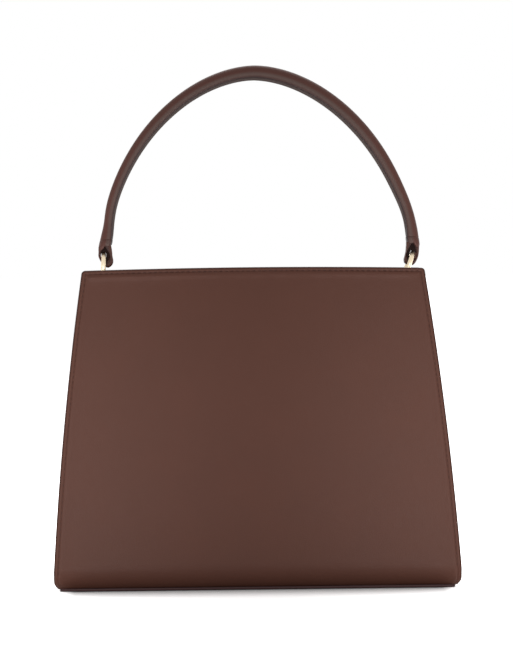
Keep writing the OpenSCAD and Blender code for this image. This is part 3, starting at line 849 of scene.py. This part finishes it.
roll = tube(ROLL_STEPS, ROLL_SIDES, lambda ring, side: roll_section(
    ring / (ROLL_STEPS - 1), math.tau * side / ROLL_SIDES), lambda i: turned(i, ROLL_SIDES))
as_piece(roll, "handle_roll", "handle", roll_leather, ["handle_wrap"])


def ridge_stitches():
    """The row of stitches along both sides of the ridge."""
    bm = bmesh.new()
    count = round(ROLL_L / RIDGE_PITCH)
    for k in range(6, count - 5):
        along = roll_axes(k / count)[0]
        for sign in (-1, 1):
            place = roll_section(k / count, math.pi + sign * SEW_ANGLE, THREAD_PROUD)
            add_stitch(bm, place, along, Vector((0, -sign, 0)), RIDGE_STITCH, FINE_THREAD_R)
    return facing_out(bm)


as_piece(ridge_stitches(), "handle_stitches", "handle", brown_thread)

# The cuffs
# A turned hem at each end of the roll, stitched across, that closes over the loop. Its lip
# hangs lower on the side away from the middle of the bag.
CUFF_H = 0.0045
CUFF_PROUD = 0.0006
LIP_DROP = 0.0034
# The edge is cut up in a point over the strap, front and back
NOTCH_RISE = 0.0019
NOTCH_HALF = 0.0011
# Five stitches across front and back, just above the hem and a little to its outside
CUFF_SEW_UP = 0.0008
CUFF_SEW_TURN = 0.25
CUFF_SEW_STEP = 0.27
CUFF_STITCH = 0.0019
CUFF_THREAD_R = 0.00024


def cuff(first):
    """The hem: up round the roll, over its lip, and in towards the strap."""
    steps, sides = 22, 112
    start = 0.0 if first else 1.0

    def place(ring, side):
        angle = math.tau * side / sides
        lip = LIP_DROP * ((1 + math.cos(angle)) / 2) ** 1.8
        lip -= NOTCH_RISE * math.exp(-abs(COLLAR_T * math.cos(angle) / NOTCH_HALF) ** 1.5)
        share = min(1.0, ring / (steps - 5))
        above = CUFF_H - share * (CUFF_H + lip)
        s = abs(start - max(0.0, above) / ROLL_L)
        lift = CUFF_PROUD * math.sin(math.pi * clamp(0.02 + 0.94 * share)) ** 0.4
        lift *= 0.4 + 0.6 * math.sin(angle) ** 2
        point = roll_section(s, angle, lift)
        down = roll_axes(start)[0] * (-1 if first else 1)
        point += down * max(0.0, -above)
        inwards = max(0, ring - steps + 5) / 4
        middle = roll_point(start) + down * lip * 0.4
        return point.lerp(middle, 0.75 * inwards ** 1.5)

    return tube(steps, sides, place, lambda i: turned(i, sides))


def cuff_stitches(first):
    """A short row of stitches across the front and back of the roll."""
    bm = bmesh.new()
    s = (CUFF_H + CUFF_SEW_UP) / ROLL_L
    s = s if first else 1 - s
    out = roll_axes(s)[1]
    for sign in (-1, 1):
        for k in range(-2, 3):
            angle = sign * (math.pi / 2 + CUFF_SEW_TURN) + k * CUFF_SEW_STEP
            place = roll_section(s, angle, 3 * THREAD_PROUD)
            add_stitch(bm, place, out, Vector((0, sign, 0)), CUFF_STITCH, CUFF_THREAD_R)
    return facing_out(bm)


# The cuffs carry the roll's painted highlight, shade and reflection round them
for first, hand in ((True, "left"), (False, "right")):
    as_piece(cuff(first), f"{hand}_cuff", "handle", roll_leather)
    as_piece(cuff_stitches(first), f"{hand}_cuff_stitches", "handle", brown_thread)

# The loops
# A strap folded slack round the ring with its ends sewn inside the roll. Its two legs meet in
# a point above the ring and close again in a fold under it.
LOOP_EDGE = 0.42
# Places round a loop, from its top by the outboard leg, foot and inboard leg: millimetres
# towards the middle of the bag and up from the end of the roll, on the strap's outside ...
LEFT_SKIN = [(0.4, 1.6), (-3.4, 1.0), (-4.4, -1.4), (-4.75, -3.6), (-5.4, -6.4), (-5.15, -8.8),
             (-4.5, -10.8), (-3.4, -13.2), (-1.8, -15.6), (0.2, -16.8), (2.4, -16.3),
             (4.3, -14.8), (5.3, -12.4), (5.35, -8.6), (5.7, -5.4), (5.8, -2.2), (5.3, 1.2)]
RIGHT_SKIN = [(0, 1.6), (-3.9, 1.0), (-5.2, -1.2), (-5.6, -4.0), (-5.8, -6.6), (-5.75, -9.4),
              (-5.3, -11.8), (-4.4, -14.4), (-3.0, -16.3), (-0.6, -17.0), (1.9, -16.8),
              (3.9, -15.8), (4.7, -13.6), (4.45, -10.6), (4.35, -6.8), (4.7, -2.8), (4.8, 1.2)]
# ... and round its eye
LEFT_EYE = [(-0.1, 1.2), (-1.2, -1.6), (-2.6, -4.0), (-3.5, -5.6), (-3.8, -7.2), (-3.8, -8.8),
            (-3.3, -10.1), (-2.2, -10.8), (-0.9, -11.0), (0.4, -10.8), (1.5, -10.3),
            (2.4, -9.6), (2.85, -8.6), (2.9, -7.2), (2.75, -5.6), (1.7, -3.6), (0.6, -1.2)]
RIGHT_EYE = [(-0.2, 1.0), (-1.4, -2.0), (-2.6, -4.6), (-3.4, -6.2), (-3.75, -7.8), (-3.85, -9.6),
             (-3.5, -11.2), (-2.6, -12.1), (-1.4, -12.4), (0, -12.0), (1.3, -11.4),
             (2.4, -10.8), (3.35, -9.9), (3.65, -8.6), (3.3, -6.6), (2.2, -4.4), (0.9, -1.6)]
MM = 0.001


def through(points, share):
    """A smooth closed line through points, at a share of the way round."""
    count = len(points)
    k = int(share * count) % count
    t = share * count - int(share * count)
    a, b, c, d = (Vector(points[(k + n) % count]) for n in (-1, 0, 1, 2))
    return 0.5 * (2 * b + (c - a) * t + (2 * a - 5 * b + 4 * c - d) * t * t
                  + (3 * b - a - 3 * c + d) * t ** 3)


def in_loop(end, sign, x, y, z):
    """A place of a loop's own frame, in millimetres, set in the bag's frame."""
    turn = Matrix.Rotation(sign * LOOP_LEAN, 3, "Y")
    return end + turn @ Vector((-sign * x, y, z)) * MM


def squared(value, power):
    return math.copysign(abs(value) ** power, value)


# The strap's cut edge is darker towards the eye, where no light reaches it
STRAP_BANDS = [(0.0, (1, 1, 1, 1)), (0.44, (1, 1, 1, 1)), (0.56, (0.5, 0.46, 0.46, 1)),
               (1.0, (0.36, 0.32, 0.32, 1))]
strap_leather = calf_leather("strap_leather", HANDLE_BROWN, 0.40, 0.30, STRAP_BANDS)


def loop_strap(end, sign, skin, eye):
    steps, sides = 136, 28

    def place(i, j):
        outer = through(skin, (j % steps) / steps)
        inner = through(eye, (j % steps) / steps)
        a = math.tau * (i % sides) / sides
        spot = inner.lerp(outer, 0.5 + 0.5 * squared(math.cos(a), LOOP_EDGE))
        width = LOOP_W / 2 / MM * squared(math.sin(a), LOOP_EDGE)
        return in_loop(end, sign, spot.x, width, spot.y)

    return facing_out(welded(
        grid_sheet(sides + 1, steps + 1, place, lambda i: turned(i, sides))))


def throat(end, sign, outline, y0, y1):
    """A block between the legs, as an outline run from front to back with soft edges."""
    bm = bmesh.new()
    corners = [bm.verts.new(in_loop(end, sign, x, y0, z)) for x, z in outline]
    face = bm.faces.new(corners)
    run = bmesh.ops.extrude_face_region(bm, geom=[face])
    moved = [v for v in run["geom"] if isinstance(v, bmesh.types.BMVert)]
    bmesh.ops.translate(bm, verts=moved, vec=Vector((0, (y1 - y0) * MM, 0)))
    soften(facing_out(bm), bm.edges[:], 0.1 * MM)
    return bm


# A near-black hide that paints the deep shade in the loops' hollows: web, lips and inner pads
painted_shade_hide, wire, place = start_material("painted_shade_hide", Specular_IOR_Level=0.1)
nap = noise(wire, place, 1800.0)
hide = mix_colours(wire, nap, (0.008, 0.004, 0.0035, 1), (0.020, 0.010, 0.008, 1))
dress(wire, hide, nap * 0.1 + 0.8)
# The web that closes the point between the legs, over the ring, near-black as painted shade
WEB_HALF = 4.4
LEFT_WEB = [(0, 1.7), (-2.2, -1.6), (-3.2, -3.6), (-3.4, -4.5), (-2.5, -4.1), (-1.4, -3.97),
            (0.4, -4.3), (1.6, -4.65), (2.5, -5.1), (2.9, -4.6), (1.6, -1.6)]
RIGHT_WEB = [(0, 1.7), (-2.0, -2.2), (-3.2, -4.9), (-3.5, -6.2), (-2.2, -5.6), (-1.0, -5.12),
             (0, -5.05), (1.0, -5.05), (1.9, -5.35), (2.6, -5.75), (3.3, -5.6), (2.0, -2.4)]
# The lips are in the near-black hide too, as painted shade
# The turned-in lips of the strap, lower at front and back as the ring's arch falls away there.
# The back one lies further out, so that it hangs lower still.
FRONT_LIP = (-4.75, -3.85)
BACK_LIP = (4.6, 5.2)
HANG_FROM = -4.0
LEFT_LIP = [(0, 1.7), (-2.2, -1.6), (-3.3, -3.8), (-3.6, -5.7), (-3.2, -5.2), (-2.6, -4.76),
            (-1.8, -4.5), (-1.0, -4.54), (0, -4.74), (1.0, -5.0), (2.0, -5.42), (2.6, -5.9),
            (2.9, -4.6), (1.6, -1.6)]
RIGHT_LIP = [(0, 1.7), (-2.0, -2.2), (-3.2, -4.9), (-3.7, -7.0), (-3.0, -6.6), (-2.5, -6.3),
             (-1.5, -5.87), (-0.5, -5.53), (0.5, -5.42), (1.5, -5.46), (2.0, -5.55),
             (2.5, -5.85), (3.1, -6.4), (3.3, -5.6), (2.0, -2.4)]
# The skived inner layer of each leg, which the ring presses flat as it moves; here it stays as
# cut
LEFT_IN = [(0.3, -4.15), (0.62, -4.9), (0.8, -5.6), (0.8, -6.4), (0.66, -7.2), (0.45, -8.1),
           (0.1, -9.0), (-0.8, -9.9), (-1.4, -11.3), (1.7, -10.9), (3.3, -9.4), (3.4, -6.4),
           (2.7, -4.7)]
LEFT_OUT = [(-2.5, -4.3), (-2.95, -5.0), (-3.26, -6.0), (-3.42, -6.8), (-3.46, -7.5),
            (-3.32, -8.4), (-2.95, -9.2), (-2.0, -10.4), (-2.4, -11.2), (-3.7, -10.4),
            (-4.4, -8.4), (-4.3, -6.2), (-3.3, -4.3)]
RIGHT_IN = [(0.3, -5.2), (0.75, -6.0), (1.05, -6.8), (1.22, -7.6), (1.28, -8.5), (1.25, -9.3),
            (1.05, -10.1), (0.5, -10.9), (-0.3, -12.5), (1.5, -11.9), (3.7, -10.6),
            (4.0, -8.6), (3.6, -6.4), (2.6, -5.3)]
RIGHT_OUT = [(-1.9, -5.6), (-2.55, -6.1), (-2.85, -6.7), (-2.98, -7.6), (-3.05, -8.8),
             (-3.05, -9.8), (-2.9, -10.6), (-2.5, -11.4), (-3.0, -12.3), (-4.2, -11.4),
             (-4.6, -9.4), (-4.3, -7.4), (-3.2, -5.8)]

# Each pad: its leg, outline, hide, the joint that would flatten it, the place of its back and
# the share of its thickness that would be left. The joint and the share are not used.
for sign, hand, end_x, skin, eye, web, lip, drop, pads in (
        (-1, "left", LEFT_END, LEFT_SKIN, LEFT_EYE, LEFT_WEB, LEFT_LIP, 0.3,
         (("inner", LEFT_IN, painted_shade_hide, "left_ring_tilt", 3.8, 0.33),
          ("outer", LEFT_OUT, handle_leather, "left_ring_tilt", -5.3, 0.36))),
        (1, "right", RIGHT_END, RIGHT_SKIN, RIGHT_EYE, RIGHT_WEB, RIGHT_LIP, 0.25,
         (("inner", RIGHT_IN, painted_shade_hide, "handle_swing", 4.1, 0.16),
          ("outer", RIGHT_OUT, handle_leather, "right_ring_tilt", -3.9, 0.31)))):
    end = Vector((end_x, 0, HANDLE_END))
    as_piece(loop_strap(end, sign, skin, eye), f"{hand}_loop", "handle", strap_leather,
             [f"{hand}_handle_loop"])
    as_piece(throat(end, sign, web, -WEB_HALF, WEB_HALF), f"{hand}_loop_web", "handle",
             painted_shade_hide)
    low_lip = [(x, z - drop if z < HANG_FROM else z) for x, z in lip]
    for face, edge, reach in (("front", lip, FRONT_LIP), ("back", low_lip, BACK_LIP)):
        as_piece(throat(end, sign, edge, *reach), f"{hand}_loop_{face}_lip", "handle",
                 painted_shade_hide)
    across = in_loop(end, sign, 1, 0, 0) - in_loop(end, sign, 0, 0, 0)
    for leg, outline, hide, joint, back, keep in pads:
        pad = as_piece(throat(end, sign, outline, -WEB_HALF, WEB_HALF),
                       f"{hand}_loop_{leg}_pad", "handle", hide)
        tuple(in_loop(end, sign, back, 0, -7))
        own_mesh(pad)

# The rings
# D rings bent from 3.5 mm brass wire, brazed, polished and plated pale gold. The lower bar
# turns in its leather tab, and the arch carries the handle's loop.
WIRE_R = 0.00175
RING_HALF = 0.0105
RING_CORNER = 0.003
LEG_START = 0.0005
ARCH_RISE = RING_RISE - RING_HALF


def gold_plate(name, colour):
    material, wire, place = start_material(name, Metallic=1.0, Specular_IOR_Level=0.5)
    haze = noise(wire, place, 260.0, 3.0)
    hair = noise(wire, place, 3200.0, 2.0)
    base = tones(wire, haze, colour, 0.96, 1.03)
    dress(wire, base, haze * 0.06 + hair * 0.03 + 0.33)
    return material


gold = gold_plate("pale_gold", (0.80, 0.675, 0.49))


def ring_path():
    """The middle of the wire in the ring's own plane, as (across, up) points."""
    corner = RING_HALF - RING_CORNER
    arch = arc(0, ARCH_RISE, RING_HALF, 0, 2, 39)
    down = arc(-corner, RING_CORNER, RING_CORNER, 2, 3, 12)[1:]
    bar = [(-corner + 2 * corner * k / 8, 0) for k in range(1, 8)]
    up = arc(corner, RING_CORNER, RING_CORNER, -1, 0, 12)[:-1]
    return arch + down + bar + up + [(RING_HALF, RING_CORNER + LEG_START)]


def ring_mesh(bar_x, lean):
    path = [Vector((0, y, z)) for y, z in ring_path()]
    count, sides = len(path), 24
    turn = Matrix.Rotation(lean, 3, "Y")

    def place(i, j):
        k = j % count
        along = (path[(k + 1) % count] - path[k - 1]).normalized()
        a = math.tau * (i % sides) / sides
        across = along.cross(Vector((1, 0, 0)))
        spot = path[k] + (across * math.cos(a) + Vector((1, 0, 0)) * math.sin(a)) * WIRE_R
        return turn @ spot + Vector((bar_x, 0, RING_BAR.z))

    return facing_out(welded(grid_sheet(sides + 1, count + 1, place)))


for bar_x, lean, hand in ((-RING_BAR.x, LEFT_LEAN, "left"), (RING_BAR.x, RIGHT_LEAN, "right")):
    as_piece(ring_mesh(bar_x, lean), f"{hand}_gold_ring", f"{hand}_ring", gold,
             [f"{hand}_ring"])

# The ring tabs
# A strap folded over the ring's lower bar and held by stitches through the gusset, with round
# ends and soft edges.
TAB_W = 0.014
TAB_L = 0.034
TAB_T = 0.0015
TAB_EDGE_R = 0.0003
# Half the width of its blunt tips, and how much higher than round its fold is
TAB_TIP = 0.0004
FOLD_RISE = 1.2
# Its box of stitches: how far in, where the top row and the sides start, and how far they run
TAB_SEW_IN = 0.0022
TAB_SEW_TOP = 0.0065
TAB_SEW_FROM = 0.008
TAB_SEW_RUN = 0.019
TAB_SEW_FOOT = 0.0285
TAB_STITCH = 0.0021
SLOT_HALF = 0.00145
MID_ANGLE = math.atan((MID_FOOT - MID_HEAD) / (RING_BAR.z - FOOT_Z))


def tab_turn(side):
    """A tab lies along the slope of its gusset's wall."""
    return Matrix.Rotation(-side * MID_ANGLE, 3, "Y")


def on_tab(side, place):
    """A place of a tab's own frame, round the ring's bar, set in the bag's frame."""
    return tab_turn(side) @ place + Vector((side * RING_BAR.x, 0, RING_BAR.z))


def tab_sheet(side):
    """One tab along its fold: up the outer leg, over the bar and down the inner leg."""
    leg, bend, columns = 26, 14, 13
    rows = 2 * leg + bend
    radius = SLOT_HALF + TAB_T

    def place(i, j):
        if j < leg:
            z = -TAB_L * (1 - j / leg)
            x = radius
        elif j < leg + bend:
            a = math.pi * (j - leg) / (bend - 1)
            x, z = radius * math.cos(a), radius * math.sin(a) * FOLD_RISE
        else:
            z = -TAB_L * (j - leg - bend + 1) / leg
            x = -radius
        from_end = TAB_L + min(0.0, z)
        half = TAB_W / 2
        if from_end < half:
            half = math.sqrt(max(0.0, half ** 2 - (half - from_end) ** 2))
        y = max(half, TAB_TIP) * (2 * i / (columns - 1) - 1)
        return on_tab(side, Vector((side * x, y, z)))

    # The two legs face opposite ways, so the fold over the bar says which side is out
    bm = give_wall(grid_sheet(columns, rows, place), TAB_T, Vector((0, 0, 1)))
    return soften_rims(bm, TAB_EDGE_R)


def tab_stitches(side):
    """A box of stitches on the tab's outer leg."""
    bm = bmesh.new()
    outer = side * (SLOT_HALF + TAB_T + THREAD_PROUD)
    half = TAB_W / 2 - TAB_SEW_IN
    # Each stitch across and down the leg, and the angle at which it lies from upright
    spots = [(y, -TAB_SEW_FROM - TAB_SEW_RUN * k / 7, 0) for k in range(8) for y in (-half, half)]
    for k in range(3):
        spots.append((-half + half * (k + 0.5) * 2 / 3, -TAB_SEW_TOP, math.pi / 2))
    for k in range(7):
        a = math.pi * (k + 0.5) / 7
        spots.append((half * math.cos(a), -TAB_SEW_FOOT - half * math.sin(a), a))
    for y, z, a in spots:
        along = tab_turn(side) @ Vector((0, math.sin(a), math.cos(a)))
        add_stitch(bm, on_tab(side, Vector((outer, y, z))), along,
                   tab_turn(side) @ Vector((side, 0, 0)), TAB_STITCH, CUFF_THREAD_R)
    return facing_out(bm)


for side, hand in HANDS:
    as_piece(tab_sheet(side), f"{hand}_tab", "bag", handle_leather,
             [f"{hand}_ring_tab"])
    as_piece(tab_stitches(side), f"{hand}_tab_stitches", "bag", brown_thread)

# The pockets
# An open patch pocket of the suede on the front wall, with a leather hem. On the back wall a
# suede bag hangs behind the lining, under a woven tape whose coil closes the zip.
POCKET_T = 0.0009
POCKET_SLACK = 0.0008
HEM_H = 0.012
HEM_T = 0.0006
# How far the hem and the zip's frame stand off what they lie on
HEM_OFF = 0.0014
ZIP_BAG_AT = 0.0038
SEW_IN = 0.0022


def laid_patch(side, half, z0, z1, at, thickness, swelling=0.0, columns=48, rows=30):
    """A flat piece laid on a wall, between two heights, whose middle may stand off."""
    def place(i, j):
        across, up = 2 * i / (columns - 1) - 1, j / (rows - 1)
        z = z0 + (z1 - z0) * up
        off = swelling * (1 - across ** 4) * math.sin(math.pi / 2 * up) ** 0.7
        return Vector((half * across, -side * (at + off - half_depth(z)), z))

    return cut_piece(grid_sheet(columns, rows, place), thickness, Vector((0, -side, 0)))


def laid_stitches(side, half, z0, z1, at, with_top):
    """Stitches just inside a laid piece's edges."""
    bm = bmesh.new()
    up = Vector((0, -side * SLOPE, 1)).normalized()
    out = up.cross(Vector((side, 0, 0)))
    spots = []
    for k in range(int(2 * half / STITCH_PITCH) + 1):
        x = -half + STITCH_PITCH * (k + 0.5)
        spots += [(x, z, Vector((1, 0, 0))) for z in ((z0, z1) if with_top else (z0,))]
    for k in range(int((z1 - z0) / STITCH_PITCH)):
        spots += [(x, z0 + STITCH_PITCH * (k + 0.5), up) for x in (-half, half)]
    for x, z, along in spots:
        if abs(x) <= half:
            place = Vector((x, -side * (at - half_depth(z)), z))
            add_stitch(bm, place, along, out)
    return facing_out(bm)


pocket_low, pocket_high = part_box("slip_pocket")
POCKET_AT = INSIDE_AT + GLUE_GAP + POCKET_T
as_piece(laid_patch(-1, pocket_high.x, pocket_low.z, pocket_high.z, POCKET_AT, POCKET_T,
                    POCKET_SLACK),
         "slip_pocket_suede", "bag", lining_suede, ["slip_pocket"])
as_piece(laid_patch(-1, pocket_high.x, pocket_high.z - HEM_H, pocket_high.z,
                    POCKET_AT + HEM_OFF, HEM_T, rows=8),
         "slip_pocket_hem", "bag", face_leather)
as_piece(laid_stitches(-1, pocket_high.x - SEW_IN, pocket_low.z + SEW_IN,
                       pocket_high.z - HEM_H, POCKET_AT + GLUE_GAP, False),
         "slip_pocket_stitches", "bag", brown_thread)
bag_low, bag_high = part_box("zip_pocket_bag")
as_piece(laid_patch(1, bag_high.x, bag_low.z, bag_high.z, ZIP_BAG_AT, LINING_T),
         "zip_pocket_suede", "bag", lining_suede, ["zip_pocket_bag"])

# The zip's tape
# A dark woven tape with a nylon coil down its middle, sewn to the opening in the lining.
TAPE_T = 0.0005
COIL_PITCH = 0.0015
COIL_R = 0.0005
COIL_L = 0.0042
COIL_LEAN = 0.12
TAPE_END = 0.005
zip_tape_cloth = suede("zip_tape_cloth", (0.045, 0.024, 0.018))
tape_low, tape_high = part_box("zip_tape")
TAPE_AT = INSIDE_AT + GLUE_GAP + TAPE_T
frame_low, frame_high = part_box("zip_frame")
TAPE_MID = (frame_low.z + frame_high.z) / 2
as_piece(laid_patch(1, tape_high.x, tape_low.z, tape_high.z, TAPE_AT, TAPE_T, rows=8),
         "zip_tape_sheet", "bag", zip_tape_cloth, ["zip_tape"])
coil = bmesh.new()
for k in range(round(2 * (tape_high.x - TAPE_END) / COIL_PITCH)):
    x = -tape_high.x + TAPE_END + COIL_PITCH * (k + 0.5)
    spot = Vector((x, half_depth(TAPE_MID) - TAPE_AT - COIL_R * 0.6, TAPE_MID))
    add_stitch(coil, spot, Vector((COIL_LEAN, SLOPE, 1)).normalized(),
               Vector((0, -1, SLOPE)).normalized(), COIL_L, COIL_R)
as_piece(facing_out(coil), "zip_coil", "bag", brown_thread)
as_piece(laid_stitches(1, frame_high.x - SEW_IN, frame_low.z + SEW_IN, frame_high.z - SEW_IN,
                       TAPE_AT + HEM_OFF, True),
         "zip_frame_stitches", "bag", brown_thread)

# The boards, the core, the zip's frame and metal, and the snap
# Boards and a core of pressed fibre, a frame cut from the face leather, and a slider, pull and
# snap that are cast and plated. Their solids are right as they are, and only take a finish.
board, wire, place = start_material("fibre_board", Specular_IOR_Level=0.2)
fibre = noise(wire, place, 900.0, 4.0, 0.7)
dress(wire, tones(wire, fibre, (0.27, 0.21, 0.15), 0.8, 1.15), fibre * 0.1 + 0.8)
finishes = {
    "base_board": board, "front_stiffener": board, "back_stiffener": board,
    "handle_core": board, "zip_frame": face_leather, "zip_slider": gold,
    "zip_puller": gold, "snap_stud": gold, "snap_socket": gold,
}
for name, material in finishes.items():
    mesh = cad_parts[name].data
    mesh.materials.clear()
    mesh.materials.append(material)

# The studio
# A white floor that fades into a white background, two upright soft lamps close in front of
# the bag, whose light just misses the floor, and a broad lamp above and behind it.
FLOOR_WHITE = 0.95
WHITE_LIFT = 0.9
SHADOW_REACH = 0.09
SHADOW_DEPTH = 2.0
# Half the width of the painted shadow under the base, and how far it takes to fade at each end
SHADOW_HALF = 0.140
SHADOW_FADE = 0.016
SIDE_LIFT = 1.6
FLOOR_HALF = 30.0
white = bpy.data.materials.new("white_floor")
white.use_nodes = True
white.node_tree.nodes.clear()
sweep = Wire(white.node_tree)


def seen_directly(wire):
    """1 where a camera, mirror or glass ray looks at the background, else 0."""
    rays = [wire.add("ShaderNodeLightPath", output=name) for name in
            ("Is Camera Ray", "Is Glossy Ray", "Is Transmission Ray")]
    return wire.math("MAXIMUM", wire.math("MAXIMUM", *rays[:2]), rays[2])


# The contact shadow is painted: occlusion near the bag darkens the floor's colour
near = sweep.add("ShaderNodeAmbientOcclusion", {"samples": 16}, {"Distance": SHADOW_REACH}, 1)
spot = sweep.add("ShaderNodeTexCoord", output=3)
sideways = sweep.math("ABSOLUTE", sweep.add("ShaderNodeSeparateXYZ", None, {0: spot}))
beyond = ((sideways - SHADOW_HALF) * (1 / SHADOW_FADE)).clipped()
seen = seen_directly(sweep) * (beyond * SIDE_LIFT + WHITE_LIFT) + FLOOR_WHITE
level = seen * (1 - (1 - near ** SHADOW_DEPTH) * (1 - beyond))
shade = sweep.add("ShaderNodeCombineColor", None, {0: level, 1: level, 2: level})
surface = sweep.add("ShaderNodeBsdfDiffuse", None, {"Color": shade})
sweep.add("ShaderNodeOutputMaterial", None, {"Surface": surface}, None)
bm = bmesh.new()
bmesh.ops.create_grid(bm, x_segments=1, y_segments=1, size=FLOOR_HALF)
as_object(bm, "floor", white)

AMBIENT = 0.55
world = bpy.data.worlds.new("studio")
bpy.context.scene.world = world
world.use_nodes = True
room = Wire(world.node_tree)
soft = world.node_tree.nodes["Background"]
soft.inputs["Color"].default_value = (1, 1, 1, 1)
strength = seen_directly(room) * (1 - AMBIENT) + AMBIENT
world.node_tree.links.new(strength.socket, soft.inputs["Strength"])


def soft_lamp(name, place, target, width, height, power, spread=180):
    light = bpy.data.lights.new(name, "AREA")
    light.shape = "RECTANGLE"
    light.size = width
    light.size_y = height
    light.energy = power
    light.spread = math.radians(spread)
    lamp = in_scene(name, light)
    lamp.location = place
    lamp.rotation_euler = (Vector(target) - Vector(place)).to_track_quat("-Z", "Y").to_euler()
    lamp.visible_camera = False


for side, hand in HANDS:
    soft_lamp(f"{hand}_strip", place=(side * 0.185, -0.33, 0.145),
              target=(side * 0.165, 0, 0.145), width=0.06, height=0.30, power=0.226, spread=100)
soft_lamp("top_softbox", place=(0, 0.9, 1.5), target=(0, 0, 0.1), width=1.6, height=1.2, power=9)

# The camera
# A long lens 4 m in front of the bag, a little to its left and above its middle, rolled by
# half a degree.
PIXEL = 0.0007622
FRAME_H = 655
CAMERA_D = 4.0
SENSOR = 36.0
AIM = Vector((0.0009, -0.05, 0.1996))
AZIMUTH = math.radians(-2.0)
DOWNWARD = math.radians(1.0)
ROLL = math.radians(0.563)
lens = bpy.data.cameras.new("camera")
lens.sensor_width = SENSOR
lens.lens = SENSOR * CAMERA_D / (FRAME_H * PIXEL)
lens.clip_end = 60
camera = in_scene("camera", lens)
turn = (Matrix.Rotation(AZIMUTH, 3, "Z") @ Matrix.Rotation(math.pi / 2 - DOWNWARD, 3, "X")
        @ Matrix.Rotation(-ROLL, 3, "Z"))
camera.location = AIM + turn @ Vector((0, 0, CAMERA_D))
camera.rotation_euler = turn.to_euler()
bpy.context.scene.camera = camera

bpy.context.scene.view_settings.view_transform = "Standard"
